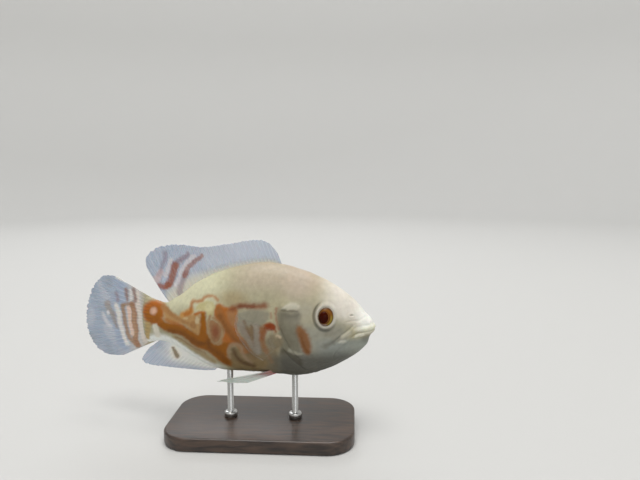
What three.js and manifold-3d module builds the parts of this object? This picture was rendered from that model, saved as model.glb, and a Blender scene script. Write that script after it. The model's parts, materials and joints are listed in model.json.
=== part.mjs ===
// A life-size oscar fish (a young albino tiger oscar, 160 mm long) held up by a plain display stand.
// Millimetres, +Z up. The fish looks along +X, and its tail bends gently to +Y, its left.
// The origin is the middle of the stand's foot.
//
// The fish is shaped straight first, in body coordinates: x is the distance back from the snout,
// y the distance to the right and z the height above the level of the mouth. It is divided into its
// parts there, and bend() then lays every part along the curved backbone.
import * as THREE from "three";
import { mergeVertices } from "three/addons/utils/BufferGeometryUtils.js";
import Module from "manifold-3d";

const wasm = await Module();
wasm.setup();

// Driving dimensions
const BODY_LENGTH = 124; // from the snout to the end of the tail stalk
const GAP = 0.3; // what touching parts keep between them
const SNOUT_AT = { x: 58, z: 54 }; // the snout, seen from the middle of the stand's foot
const BEND_FROM = 55; // the backbone is straight up to here
const BEND_RADIUS = 300;

// The outline of the body, as [distance back from the snout, size]
const BACK = [
  [0, 5.5], [5, 10.2], [11, 17], [20, 23.8], [32, 29.8], [46, 34.2], [56, 34.9],
  [68, 33], [80, 29.4], [92, 23.4], [102, 16], [109, 12.6], [116, 13.8], [124, 16.4],
];
const BELLY = [
  [0, -1.8], [2.5, -4.8], [5.5, -8.4], [10, -12.2], [20, -18.2], [30, -22.2], [39, -23.8],
  [50, -23], [62, -22], [75, -22], [83, -20.8], [92, -17], [102, -11.3], [109, -8.8], [116, -9.2], [124, -11.4],
];
const HALF_WIDTH = [
  [0, 3.4], [3, 5], [8, 7], [15, 8.9], [25, 10.6], [35, 11.8], [45, 12.6], [55, 12.8],
  [65, 12.3], [75, 11], [85, 9.2], [95, 7], [105, 5], [112, 3.8], [118, 2.7], [124, 1.7],
];
// How square each half of a cross-section is: 2 is an ellipse, less is a ridge, more is a slab
const BACK_SQUARENESS = [[0, 2.2], [30, 2.15], [50, 1.85], [95, 1.8], [124, 2]];
const BELLY_SQUARENESS = [[0, 2], [25, 1.9], [45, 2.05], [70, 2.2], [100, 2], [124, 2]];
const SNOUT_AXIS = 2; // height of the tip of the snout
const TAIL_AXIS = 2.4; // height of the end of the tail stalk
const SNOUT_ROUNDING = 3; // length over which the snout closes
const STALK_ROUNDING = 4; // length over which the stalk's end closes

// A smooth curve through knots of [place, value], held level past both ends
function through(knots) {
  const slope = (i) => {
    const a = knots[Math.max(i - 1, 0)];
    const b = knots[Math.min(i + 1, knots.length - 1)];
    return (b[1] - a[1]) / (b[0] - a[0]);
  };
  return (place) => {
    const at = THREE.MathUtils.clamp(place, knots[0][0], knots[knots.length - 1][0]);
    let i = 0;
    while (i < knots.length - 2 && at > knots[i + 1][0]) i += 1;
    const span = knots[i + 1][0] - knots[i][0];
    const u = (at - knots[i][0]) / span;
    const v = 1 - u;
    return (
      (1 + 2 * u) * v * v * knots[i][1] +
      u * v * v * span * slope(i) +
      u * u * (3 - 2 * u) * knots[i + 1][1] -
      u * u * v * span * slope(i + 1)
    );
  };
}

const backAt = through(BACK);
const bellyAt = through(BELLY);
const halfWidthAt = through(HALF_WIDTH);
const backSquareness = through(BACK_SQUARENESS);
const bellySquareness = through(BELLY_SQUARENESS);

// 1 along the body, falling to 0 as a quarter circle at both its ends
function closing(back) {
  const front = Math.min(Math.max(back, 0) / SNOUT_ROUNDING, 1);
  const rear = Math.min(Math.max(BODY_LENGTH - back, 0) / STALK_ROUNDING, 1);
  return Math.sqrt(1 - (1 - front) ** 2) * Math.sqrt(1 - (1 - rear) ** 2);
}

// The cross-section at a distance back from the snout
function section(back) {
  const axis = THREE.MathUtils.lerp(SNOUT_AXIS, TAIL_AXIS, back / BODY_LENGTH);
  const share = closing(back);
  const top = axis + (backAt(back) - axis) * share;
  const bottom = axis + (bellyAt(back) - axis) * share;
  return { top, bottom, middle: (top + bottom) / 2, half: halfWidthAt(back) * share };
}

// The point of the skin at a distance back and an angle round the body, from its right side up to the back
function skinPoint(back, angle, grow = 0) {
  const { top, bottom, middle, half } = section(back);
  const up = Math.sin(angle);
  const out = Math.cos(angle);
  const squareness = up > 0 ? backSquareness(back) : bellySquareness(back);
  const reach = (up > 0 ? top - middle : middle - bottom) + grow;
  const power = 2 / squareness;
  return new THREE.Vector3(
    back,
    Math.sign(out) * Math.abs(out) ** power * (half + grow),
    middle + Math.sign(up) * Math.abs(up) ** power * reach,
  );
}

// How far the skin reaches to the side at a distance back and a height
function sideAt(back, height) {
  const { top, bottom, middle, half } = section(back);
  const up = height > middle;
  const squareness = up ? backSquareness(back) : bellySquareness(back);
  const share = Math.min(Math.abs(height - middle) / (up ? top - middle : middle - bottom), 0.999);
  return half * (1 - share ** squareness) ** (1 / squareness);
}

// Lays a point of the straight fish along the curved backbone, in the part's own frame
function bend(point) {
  const turn = Math.max(point.x - BEND_FROM, 0) / BEND_RADIUS;
  const along = Math.min(point.x, BEND_FROM) + BEND_RADIUS * Math.sin(turn);
  const aside = BEND_RADIUS * (1 - Math.cos(turn));
  return new THREE.Vector3(
    SNOUT_AT.x - along - point.y * Math.sin(turn),
    aside - point.y * Math.cos(turn),
    SNOUT_AT.z + point.z,
  );
}

// Closed solids
function solidOf(geometry) {
  const bare = new THREE.BufferGeometry();
  bare.setAttribute("position", geometry.getAttribute("position"));
  if (geometry.index) bare.setIndex(geometry.index);
  const merged = mergeVertices(bare, 1e-4);
  const made = new wasm.Manifold(
    new wasm.Mesh({
      numProp: 3,
      vertProperties: merged.attributes.position.array,
      triVerts: new Uint32Array(merged.index.array),
    }),
  );
  return made.volume() > 0 ? made : turned(merged);
}

// The same closed surface with its faces turned round, for a shape that a mapping has mirrored
function turned(geometry) {
  const triVerts = new Uint32Array(geometry.index.array);
  for (let i = 0; i < triVerts.length; i += 3) {
    [triVerts[i + 1], triVerts[i + 2]] = [triVerts[i + 2], triVerts[i + 1]];
  }
  const vertProperties = geometry.attributes.position.array;
  return new wasm.Manifold(new wasm.Mesh({ numProp: 3, vertProperties, triVerts }));
}

// Moves every vertex of a geometry to where place(uv, position) says
function shaped(geometry, place) {
  const position = geometry.getAttribute("position");
  const uv = geometry.getAttribute("uv");
  const from = new THREE.Vector3();
  for (let i = 0; i < position.count; i += 1) {
    from.fromBufferAttribute(position, i);
    const to = place({ u: uv?.getX(i), v: uv?.getY(i) }, from);
    position.setXYZ(i, to.x, to.y, to.z);
  }
  return geometry;
}

function geometryOf(solid) {
  const { vertProperties, triVerts, numProp } = solid.getMesh();
  const points = new Float32Array((vertProperties.length / numProp) * 3);
  for (let i = 0; i < points.length / 3; i += 1) {
    points.set(vertProperties.subarray(i * numProp, i * numProp + 3), 3 * i);
  }
  const geometry = new THREE.BufferGeometry();
  geometry.setAttribute("position", new THREE.BufferAttribute(points, 3));
  geometry.setIndex(new THREE.BufferAttribute(new Uint32Array(triVerts), 1));
  return geometry;
}

// The largest closed surface of a solid, without the slivers that cutting leaves
const SLIVER = 0.03;
function largest(solid) {
  return solid.simplify(SLIVER).decompose().reduce((a, b) => (b.volume() > a.volume() ? b : a));
}

const bent = (geometry) => shaped(geometry, (uv, point) => bend(point));

// The whole body, grown all round by growAt(distance back)
function bodySolid(growAt = () => 0) {
  const ball = new THREE.SphereGeometry(1, 36, 52);
  return solidOf(
    shaped(ball, ({ u, v }) => {
      const back = (BODY_LENGTH * (1 + Math.cos(Math.PI * v))) / 2;
      const grow = growAt(back);
      const point = skinPoint(back, 2 * Math.PI * u, grow * Math.min(closing(back) * 4, 1));
      point.x += grow * Math.cos(Math.PI * v) * (1 - closing(back));
      return point;
    }),
  );
}

// A prism across the body from an outline of [back, height] points
const PRISM_HALF = 25;
function prism(outline) {
  const shape = new THREE.Shape(outline.map(([back, height]) => new THREE.Vector2(back, height)));
  const geometry = new THREE.ExtrudeGeometry(shape, { depth: 2 * PRISM_HALF, bevelEnabled: false });
  geometry.rotateX(Math.PI / 2);
  geometry.translate(0, PRISM_HALF, 0);
  return solidOf(geometry);
}

// A smooth open line of [back, height] points through a few knots
function smooth(knots, steps) {
  const curve = new THREE.SplineCurve(knots.map(([x, y]) => new THREE.Vector2(x, y)));
  return curve.getPoints(steps).map(({ x, y }) => [x, y]);
}

// An outline moved outwards by a distance
function grown(outline, distance) {
  const turn = Math.sign(THREE.ShapeUtils.area(outline.map(([x, y]) => ({ x, y }))));
  const count = outline.length;
  return outline.map(([x, y], i) => {
    const [ax, ay] = outline[(i + count - 1) % count];
    const [bx, by] = outline[(i + 1) % count];
    const along = new THREE.Vector2(bx - ax, by - ay).normalize();
    return [x + turn * along.y * distance, y - turn * along.x * distance];
  });
}

// A rounded strand along a path, with pointed ends: a ball drawn out along it
function strand(path, thickness, sides, steps) {
  const curve = new THREE.CatmullRomCurve3(path);
  const up = new THREE.Vector3(0, 0, 1);
  return solidOf(
    shaped(new THREE.SphereGeometry(1, sides, steps), ({ u, v }) => {
      const share = (1 - Math.cos(Math.PI * v)) / 2;
      const along = curve.getTangentAt(share);
      const across = new THREE.Vector3().crossVectors(along, up).normalize();
      const over = new THREE.Vector3().crossVectors(across, along);
      const size = thickness(share) * Math.sin(Math.PI * v) ** 0.6;
      return curve
        .getPointAt(share)
        .addScaledVector(across, Math.cos(2 * Math.PI * u) * size)
        .addScaledVector(over, Math.sin(2 * Math.PI * u) * size);
    }),
  );
}

// Fins
//
// A fin is a sheet ruled from a base line to a margin, with a ridge on both faces along each ray.
// spec.base(a) and spec.margin(a) give its ends, a from 0 at its first ray to 1 at its last.
const MEMBRANE = 0.55; // thickness between the rays
const RIDGE_SHARE = 0.24; // half the width of a ridge, as a share of the distance between rays

function finSheet(spec) {
  const places = [0];
  for (let ray = 0; ray < spec.rays; ray += 1) {
    for (const aside of [-RIDGE_SHARE, 0, RIDGE_SHARE]) places.push((ray + 0.5 + aside) / spec.rays);
  }
  places.push(1);
  const columns = places.length - 1;
  const onRay = (column) => column % 3 === 2 && column < columns;
  const middleAt = (a, b) => {
    const from = spec.base(a);
    const to = spec.margin(a);
    const point = from.clone().lerp(to, b);
    if (spec.bow) point.add(spec.bow(a, b));
    return point;
  };
  const faceNormal = (a, b) => {
    const step = 0.01;
    const a0 = Math.max(a - step, 0);
    const a1 = Math.min(a + step, 1);
    const b0 = Math.max(b - step, 0);
    const b1 = Math.min(b + step, 1);
    const across = middleAt(a1, b).sub(middleAt(a0, b));
    const out = middleAt(a, b1).sub(middleAt(a, b0));
    return across.cross(out).normalize();
  };
  const box = new THREE.BoxGeometry(1, 1, 1, columns, spec.rows, 1);
  alikeOnBothFaces(box);
  return solidOf(
    shaped(box, (uv, from) => {
      const column = Math.round((from.x + 0.5) * columns);
      const a = places[column];
      const ray = onRay(column);
      const webbed = ray ? 1 : 1 - spec.notch(a);
      const b = (from.y + 0.5) * webbed;
      const ridge = THREE.MathUtils.lerp(spec.rayAtBase, spec.rayAtTip, b);
      const thick = ray ? Math.max(ridge, MEMBRANE) : MEMBRANE;
      return middleAt(a, b).addScaledVector(faceNormal(a, b), Math.sign(from.z) * 0.5 * thick);
    }),
  );
}

// Turns the diagonals of a box's rear face, so that both its faces are split into triangles alike
function alikeOnBothFaces(box) {
  const rear = box.groups[5];
  const index = box.index;
  for (let i = rear.start; i < rear.start + rear.count; i += 6) {
    const [a, b, d, , c] = [0, 1, 2, 3, 4].map((k) => index.getX(i + k));
    [a, b, c, a, c, d].forEach((vertex, k) => index.setX(i + k, vertex));
  }
}

// A point on the middle plane of the fish
const onPlane = (back, height) => new THREE.Vector3(back, 0, height);

// A point that moves along knots of [share, back, height] on the middle plane
function planeLine(knots) {
  const backOf = through(knots.map(([share, back]) => [share, back]));
  const heightOf = through(knots.map(([share, , height]) => [share, height]));
  return (a) => onPlane(backOf(a), heightOf(a));
}

const ROOT_SINK = 2.5; // how far a fin's root reaches into the body before it is cut back

// The dorsal fin: 13 spines and 20 soft rays from the nape to the tail stalk
const DORSAL_FRONT = 47.5;
const DORSAL_REAR = 107;
const DORSAL_RAYS = 33;
const SPINY_SHARE = 0.62;
const dorsalMargin = planeLine([
  [0, 49.5, 40], [0.06, 54.5, 45.4], [0.16, 61.5, 46.6], [0.36, 74, 44.6], [0.58, 88.5, 42.6],
  [0.72, 99.5, 43.4], [0.84, 110, 42.6], [0.92, 119, 39], [0.97, 122.5, 32], [1, 117, 22.5],
]);
const dorsalSpec = {
  rays: DORSAL_RAYS,
  rows: 2,
  rayAtBase: 1.3,
  rayAtTip: 0.6,
  base: (a) => {
    const back = THREE.MathUtils.lerp(DORSAL_FRONT, DORSAL_REAR, a);
    return onPlane(back - 0.4 * ROOT_SINK, backAt(back) - ROOT_SINK);
  },
  margin: dorsalMargin,
  bow: (a, b) => new THREE.Vector3(0, -(0.7 * Math.sin(9 * a) + 2.2 * a ** 6) * b * b, 0),
  notch: (a) => (a < SPINY_SHARE ? 0.1 : 0.035),
};

// The anal fin: 3 spines and 16 soft rays
const ANAL_FRONT = 80;
const ANAL_REAR = 112;
const analSpec = {
  rays: 19,
  rows: 2,
  rayAtBase: 1.2,
  rayAtTip: 0.6,
  base: (a) => {
    const back = THREE.MathUtils.lerp(ANAL_FRONT, ANAL_REAR, a);
    return onPlane(back - 0.4 * ROOT_SINK, bellyAt(back) + ROOT_SINK);
  },
  margin: planeLine([
    [0, 83.5, -22.8], [0.12, 89.5, -23.4], [0.4, 102, -23.4], [0.65, 113, -22.9],
    [0.84, 121.5, -22.2], [0.93, 125, -19.6], [1, 120.5, -13.2],
  ]),
  bow: (a, b) => new THREE.Vector3(0, -0.8 * Math.sin(5 * a) * b * b, 0),
  notch: () => 0.04,
};

// The tail fin: 16 rays, spread like a fan
const caudalSpec = {
  rays: 18,
  rows: 3,
  rayAtBase: 1.4,
  rayAtTip: 0.6,
  base: planeLine([
    [0, 111, 11], [0.12, 117.5, 11.2], [0.5, 120, 2.4], [0.88, 117.5, -7], [1, 112, -7],
  ]),
  margin: planeLine([
    [0, 140, 24.6], [0.08, 149, 24.4], [0.2, 156.5, 18.6], [0.36, 160.2, 9.6], [0.54, 161, -0.5],
    [0.72, 159.6, -10], [0.86, 155.6, -17], [0.94, 149, -20.2], [1, 139, -19.8],
  ]),
  bow: (a, b) => new THREE.Vector3(0, -1.4 * Math.sin(7 * a + 0.6) * b * b * b, 0),
  notch: () => 0.03,
};

// The pectoral fins: 14 rays spread from a short root behind the gill cover
function pectoralSpec(side) {
  const outAt = (back, height, clear) => side * (sideAt(back, height) + clear);
  const clearLine = through([[0, 7.5], [0.35, 7], [0.7, 5], [1, 3]]);
  const backLine = through([[0, 67], [0.3, 67.5], [0.55, 64.5], [0.8, 60.5], [1, 55.5]]);
  const heightLine = through([[0, 12.8], [0.3, 5.6], [0.55, -1.6], [0.8, -8], [1, -12.2]]);
  return {
    rays: 13,
    rows: 2,
    rayAtBase: 1,
    rayAtTip: 0.55,
    base: (a) => {
      const back = THREE.MathUtils.lerp(48.6, 47.2, a);
      const height = THREE.MathUtils.lerp(2.8, -4.2, a);
      return new THREE.Vector3(back, outAt(back, height, -1.6), height);
    },
    margin: (a) => {
      const back = backLine(a);
      const height = heightLine(a);
      return new THREE.Vector3(back, outAt(back, height, clearLine(a)), height);
    },
    bow: (a, b) => new THREE.Vector3(0, side * 1.6 * Math.sin(Math.PI * b), 0),
    notch: () => 0.03,
  };
}

// The pelvic fins: a spine and 5 rays, folded back along the belly
function pelvicSpec(side) {
  const backLine = through([[0, 65], [0.2, 78.5], [0.45, 76], [0.75, 70], [1, 63]]);
  const heightLine = through([[0, -26], [0.2, -25.2], [0.45, -23.6], [0.75, -22.3], [1, -21.2]]);
  const asideLine = through([[0, 8.4], [0.2, 10], [0.45, 10.6], [0.75, 10.8], [1, 10.6]]);
  return {
    rays: 6,
    rows: 4,
    rayAtBase: 1.3,
    rayAtTip: 0.6,
    base: (a) => {
      const back = THREE.MathUtils.lerp(46.5, 51.5, a);
      const aside = THREE.MathUtils.lerp(3.6, 5.6, a);
      const height = THREE.MathUtils.lerp(-20.6, -19.4, a);
      return new THREE.Vector3(back, side * aside, height);
    },
    margin: (a) => new THREE.Vector3(backLine(a), side * asideLine(a), heightLine(a)),
    notch: () => 0.05,
  };
}

// Where the parts of the body meet
const GILL_OPENING = [[36, -17.5], [40.2, -9.5], [44, -1], [47, 5.6], [47.8, 11], [46.2, 15.8], [43.6, 20.5]];
const headOutline = [
  [-8, -32], [33, -32], ...smooth(GILL_OPENING, 18), [43.2, 28], [44.4, 42], [-8, 42],
];
const gillCoverOutline = [
  ...smooth([[35.8, 16.8], [35.4, 6], [34.2, -4], [33.2, -12]], 8),
  [37.6, -14.5], [46, -3], [52, 8], [50, 17.5],
  ...smooth([[46, 18.2], [41, 18.4], [37, 17.6]], 3),
];
const MOUTH_LINE = [[-8, 3.6], [-2, 3], [1, 2.1], [6.7, -0.1], [11.7, -2]];
const jawOutline = [...smooth(MOUTH_LINE, 10), [14.5, -5], [21, -9], [23.5, -13], [21.5, -28], [-8, -28]];
const STALK_FROM = 99;
const stalkOutline = [[STALK_FROM, -40], [STALK_FROM, 40], [140, 40], [140, -40]];

const body = bodySolid();
const bodyWithGap = bodySolid(() => GAP);

// An eye is a flattened ball with its lens standing a little proud of it, set into the head
const EYE = { back: 25, height: 9.8, radius: 5.9, half: 4.6, sunk: 2.7 };
const LENS = { radius: 2.8, half: 1.5, out: 3.7 };

function eyeAxis(side) {
  return new THREE.Vector3(-0.16, side, 0.1).normalize();
}

// A point on the axis of an eye, a distance out from where that axis meets the skin
function onEyeAxis(side, out) {
  const rim = new THREE.Vector3(EYE.back, side * sideAt(EYE.back, EYE.height), EYE.height);
  return rim.addScaledVector(eyeAxis(side), out);
}

// A ball flattened along an axis
function flatBall(centre, axis, radius, half, around = 20, along = 10) {
  const geometry = new THREE.SphereGeometry(1, around, along);
  geometry.rotateX(Math.PI / 2);
  geometry.scale(radius, radius, half);
  geometry.applyQuaternion(new THREE.Quaternion().setFromUnitVectors(new THREE.Vector3(0, 0, 1), axis));
  geometry.translate(centre.x, centre.y, centre.z);
  return solidOf(geometry);
}

const ballAt = (centre, radius) => flatBall(centre, new THREE.Vector3(0, 0, 1), radius, radius, 10, 8);
const eyeBall = (side, grow = 0) =>
  flatBall(onEyeAxis(side, -EYE.sunk), eyeAxis(side), EYE.radius + grow, EYE.half + grow);
const lens = (side, grow = 0) =>
  flatBall(onEyeAxis(side, LENS.out - EYE.sunk), eyeAxis(side), LENS.radius + grow, LENS.half + grow, 16, 8);

// The fold of skin round an eye
function orbit(side) {
  const geometry = new THREE.TorusGeometry(5.9, 1.5, 8, 24);
  geometry.scale(1, 1, 0.6);
  const turn = new THREE.Quaternion().setFromUnitVectors(new THREE.Vector3(0, 0, 1), eyeAxis(side));
  geometry.applyQuaternion(turn);
  const centre = onEyeAxis(side, 0);
  geometry.translate(centre.x, centre.y, centre.z);
  return solidOf(geometry);
}

// A nostril: a raised rim with a pit in it
const NOSTRIL = { back: 11.6, height: 10.4, rim: 1.1, pit: 0.75 };
const nostrilAt = (side) =>
  new THREE.Vector3(NOSTRIL.back, side * sideAt(NOSTRIL.back, NOSTRIL.height), NOSTRIL.height);

// A lip follows the mouth line from one corner round the snout to the other
function lip(above, thickest) {
  const lineAt = through(MOUTH_LINE);
  const oneSide = [12.4, 9.5, 6.5, 3.6, 1.4];
  const pointOf = (back, side) => {
    const height = lineAt(back) + above;
    return new THREE.Vector3(back, side * (sideAt(back, height) - 0.25), height);
  };
  const path = [
    ...oneSide.map((back) => pointOf(back, -1)),
    new THREE.Vector3(0.35, 0, lineAt(0) + above),
    ...oneSide.toReversed().map((back) => pointOf(back, 1)),
  ];
  return strand(path, (share) => thickest * (0.62 + 0.38 * Math.sin(Math.PI * share)), 8, 26);
}

// Cuts a fin back to the skin, with the gap that touching parts keep
const rooted = (fin, ...others) => largest(others.reduce((left, other) => left.subtract(other), fin.subtract(bodyWithGap)));

// A gill cover is a plate that lies flush in front and stands out towards its free rear edge
const COVER = { thick: 2.2, front: 36, rear: 46, lift: 0.8 };
const coverLift = (back) => COVER.lift * THREE.MathUtils.smoothstep(back, COVER.front, COVER.rear);

function gillCover(side) {
  const plate = bodySolid(coverLift)
    .intersect(prism(headOutline))
    .intersect(prism(gillCoverOutline))
    .subtract(bodySolid(() => -COVER.thick));
  return largest(plate.trimByPlane([0, side, 0], 0));
}

const gillPockets = prism(grown(gillCoverOutline, GAP)).subtract(bodySolid(() => -COVER.thick - GAP));

// The fold of the upper jaw, which runs from above the corner of the mouth down across the cheek
function jawFold(side) {
  const path = [[10.6, 3.6], [13.4, 1], [16.6, -1.9], [20.6, -5]].map(
    ([back, height]) => new THREE.Vector3(back, side * (sideAt(back, height) - 0.45), height),
  );
  return strand(path, () => 1.05, 6, 8);
}

function headSolids() {
  let all = body.intersect(prism(headOutline)).subtract(gillPockets);
  for (const side of [-1, 1]) {
    all = all.add(orbit(side)).add(jawFold(side)).add(ballAt(nostrilAt(side), NOSTRIL.rim));
  }
  const upper = all.add(lip(1.25, 1.5)).subtract(prism(grown(jawOutline, GAP)));
  const lower = body.intersect(prism(headOutline)).add(lip(-1.35, 1.6)).intersect(prism(jawOutline));
  let head = upper;
  for (const side of [-1, 1]) {
    const pit = nostrilAt(side);
    pit.y += side * 0.7;
    head = head.subtract(eyeBall(side, GAP)).subtract(ballAt(pit, NOSTRIL.pit));
  }
  return { head: largest(head), lower: largest(lower) };
}

// The stand: a flat base with rounded corners, and two rods that end just under the belly
const BASE = { length: 96, width: 54, height: 7, corner: 14, edge: 1 };
const ROD = { radius: 1.6, collar: 3.4, collarHeight: 3, at: [17, -17] };

function baseGeometry() {
  const { length, width, height, corner, edge } = BASE;
  const x = length / 2 - edge;
  const y = width / 2 - edge;
  const round = corner - edge;
  const shape = new THREE.Shape();
  shape.absarc(x - round, y - round, round, 0, Math.PI / 2);
  shape.absarc(-x + round, y - round, round, Math.PI / 2, Math.PI);
  shape.absarc(-x + round, -y + round, round, Math.PI, 1.5 * Math.PI);
  shape.absarc(x - round, -y + round, round, 1.5 * Math.PI, 2 * Math.PI);
  const geometry = new THREE.ExtrudeGeometry(shape, {
    depth: height - 2 * edge,
    bevelThickness: edge,
    bevelSize: edge,
    bevelSegments: 2,
    curveSegments: 7,
  });
  geometry.translate(0, 0, edge);
  return geometry;
}

function rodSolid(x) {
  const foot = BASE.height + GAP;
  const { radius, collar, collarHeight } = ROD;
  const profile = [
    [0, 0], [collar, 0], [collar, collarHeight - 0.8], [collar - 0.8, collarHeight], [radius, collarHeight],
    [radius, SNOUT_AT.z], [0, SNOUT_AT.z],
  ];
  const geometry = new THREE.LatheGeometry(profile.map(([r, z]) => new THREE.Vector2(r, z)), 20);
  geometry.rotateX(Math.PI / 2);
  geometry.translate(x, 0, foot);
  return largest(solidOf(geometry).subtract(solidOf(bent(geometryOf(bodyWithGap)))));
}

// The finished part
const FINISHES = {
  skin: { color: 0xe2d6bd, roughness: 0.5 },
  marbled: { color: 0xc98a55, roughness: 0.5 },
  fin: { color: 0xd8d4cd, roughness: 0.45 },
  iris: { color: 0xd8791f, roughness: 0.25 },
  pupil: { color: 0x5a0f0a, roughness: 0.12 },
  base: { color: 0x2c2b2a, roughness: 0.5 },
  steel: { color: 0xa9a9a6, roughness: 0.3, metalness: 1 },
};

const fish = new THREE.Group();

function addPart(name, geometry, finish) {
  geometry.computeVertexNormals();
  const mesh = new THREE.Mesh(geometry, new THREE.MeshStandardMaterial(FINISHES[finish]));
  mesh.name = name;
  fish.add(mesh);
}

const addBent = (name, solid, finish) => addPart(name, bent(geometryOf(solid)), finish);

const SIDES = [["right", 1], ["left", -1]];
const { head, lower } = headSolids();
const trunk = body.subtract(prism(grown(headOutline, GAP)));

addBent("head", head, "skin");
addBent("lower_jaw", lower, "skin");
addBent("torso", largest(trunk.subtract(prism(grown(stalkOutline, GAP)))), "marbled");
addBent("tail_stalk", largest(trunk.intersect(prism(stalkOutline))), "marbled");
addBent("dorsal_fin", rooted(finSheet(dorsalSpec)), "fin");
addBent("anal_fin", rooted(finSheet(analSpec)), "fin");
addBent("caudal_fin", rooted(finSheet(caudalSpec)), "fin");
for (const [word, side] of SIDES) {
  addBent(`gill_cover_${word}`, gillCover(side), "skin");
  addBent(`eye_${word}`, eyeBall(side).subtract(lens(side, GAP)), "iris");
  addBent(`pupil_${word}`, lens(side), "pupil");
  addBent(`pectoral_fin_${word}`, rooted(finSheet(pectoralSpec(side))), "fin");
  addBent(`pelvic_fin_${word}`, rooted(finSheet(pelvicSpec(side))), "fin");
}
addPart("stand_base", baseGeometry(), "base");
ROD.at.forEach((x, i) => addPart(`stand_rod_${["front", "rear"][i]}`, geometryOf(rodSolid(x)), "steel"));

export default fish;
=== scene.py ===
# %% [markdown]
# # An oscar fish on a display stand
# A young albino tiger oscar, 160 mm long, swims to the right with its fins spread and its tail bent
# gently away. The imported solids give its size and pose, and the few sizes that drive them are written
# again here. The script lays one seamless skin, real scales, clear fins, wet eyes and a finished stand
# over them. First the frame is loaded.

# %% Load the solids
import json
import math

import bmesh
import bpy
import numpy as np
from mathutils import Matrix, Vector

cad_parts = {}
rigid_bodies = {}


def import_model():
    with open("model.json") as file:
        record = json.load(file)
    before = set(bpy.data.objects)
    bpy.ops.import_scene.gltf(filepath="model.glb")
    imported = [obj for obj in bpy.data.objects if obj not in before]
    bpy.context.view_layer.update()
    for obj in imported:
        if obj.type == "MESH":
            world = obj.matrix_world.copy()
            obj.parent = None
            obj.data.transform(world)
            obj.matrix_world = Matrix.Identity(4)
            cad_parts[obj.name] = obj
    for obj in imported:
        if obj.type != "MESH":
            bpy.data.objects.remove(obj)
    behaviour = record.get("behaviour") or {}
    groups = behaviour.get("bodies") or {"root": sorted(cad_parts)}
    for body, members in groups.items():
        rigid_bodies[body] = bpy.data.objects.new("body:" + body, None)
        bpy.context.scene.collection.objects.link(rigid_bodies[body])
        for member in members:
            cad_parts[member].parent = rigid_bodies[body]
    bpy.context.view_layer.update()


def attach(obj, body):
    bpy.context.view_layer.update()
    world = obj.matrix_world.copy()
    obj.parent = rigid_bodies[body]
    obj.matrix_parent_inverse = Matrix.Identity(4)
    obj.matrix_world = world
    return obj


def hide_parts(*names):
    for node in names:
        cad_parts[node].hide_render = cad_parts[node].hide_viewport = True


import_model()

# %% [markdown]
# ## The lines of the body
# A fish is easiest to describe straight. Every place on it is given as three distances in millimetres:
# back from the snout, out to its right side, and up from the level of the mouth. A few knots give the
# line of the back, the line of the belly and the half width, and a smooth curve runs through each. The
# solids use the same knots, so whatever is made here fits them without any measuring.

# %% Smooth curves through a few knots
MM = 0.001
BODY_LENGTH = 124
BACK = [
    (0, 5.5), (5, 10.2), (11, 17), (20, 23.8), (32, 29.8), (46, 34.2), (56, 34.9),
    (68, 33), (80, 29.4), (92, 23.4), (102, 16), (109, 12.6), (116, 13.8), (124, 16.4),
]
BELLY = [
    (0, -1.8), (2.5, -4.8), (5.5, -8.4), (10, -12.2), (20, -18.2), (30, -22.2), (39, -23.8),
    (50, -23), (62, -22), (75, -22), (83, -20.8), (92, -17), (102, -11.3), (109, -8.8),
    (116, -9.2), (124, -11.4),
]
HALF_WIDTH = [
    (0, 3.4), (3, 5), (8, 7), (15, 8.9), (25, 10.6), (35, 11.8), (45, 12.6), (55, 12.8),
    (65, 12.3), (75, 11), (85, 9.2), (95, 7), (105, 5), (112, 3.8), (118, 2.7), (124, 1.7),
]


def through(knots):
    """A smooth curve through knots of (place, value), held level past both ends."""
    place, value = np.array(knots, float).T
    last = len(place) - 1
    before = np.maximum(np.arange(last + 1) - 1, 0)
    after = np.minimum(np.arange(last + 1) + 1, last)
    slope = (value[after] - value[before]) / (place[after] - place[before])

    def at(x):
        x = np.clip(x, place[0], place[last])
        i = np.clip(np.searchsorted(place, x) - 1, 0, last - 1)
        span = place[i + 1] - place[i]
        u = (x - place[i]) / span
        v = 1 - u
        ends = (1 + 2 * u) * v * v * value[i] + (3 - 2 * u) * u * u * value[i + 1]
        return ends + u * v * span * (v * slope[i] - u * slope[i + 1])

    return at


back_line = through(BACK)
belly_line = through(BELLY)
half_width = through(HALF_WIDTH)
print("deepest:", round(float(back_line(54) - belly_line(54)), 1), "mm, widest:", 2 * HALF_WIDTH[7][1], "mm")

# %% [markdown]
# ## From the straight fish to the posed one
# A cross-section isn't quite an ellipse: the back is a soft ridge and the flanks are full. A superellipse
# describes that with one number for each half. Both ends close as quarter circles. The last function
# lays the straight fish along its backbone, which bends to the left behind the gills.

# %% Cross-sections and the bend
BACK_SQUARENESS = through([(0, 2.2), (30, 2.15), (50, 1.85), (95, 1.8), (124, 2)])
BELLY_SQUARENESS = through([(0, 2), (25, 1.9), (45, 2.05), (70, 2.2), (100, 2), (124, 2)])
SNOUT_AXIS = 2
TAIL_AXIS = 2.4
SNOUT_ROUNDING = 3
STALK_ROUNDING = 4
SNOUT_AT = (58, 54)
BEND_FROM = 55
BEND_RADIUS = 300


def closing(back):
    """1 along the body, and down to 0 as a quarter circle at both its ends."""
    front = np.clip(back / SNOUT_ROUNDING, 0, 1)
    rear = np.clip((BODY_LENGTH - back) / STALK_ROUNDING, 0, 1)
    return np.sqrt(1 - (1 - front) ** 2) * np.sqrt(1 - (1 - rear) ** 2)


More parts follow.
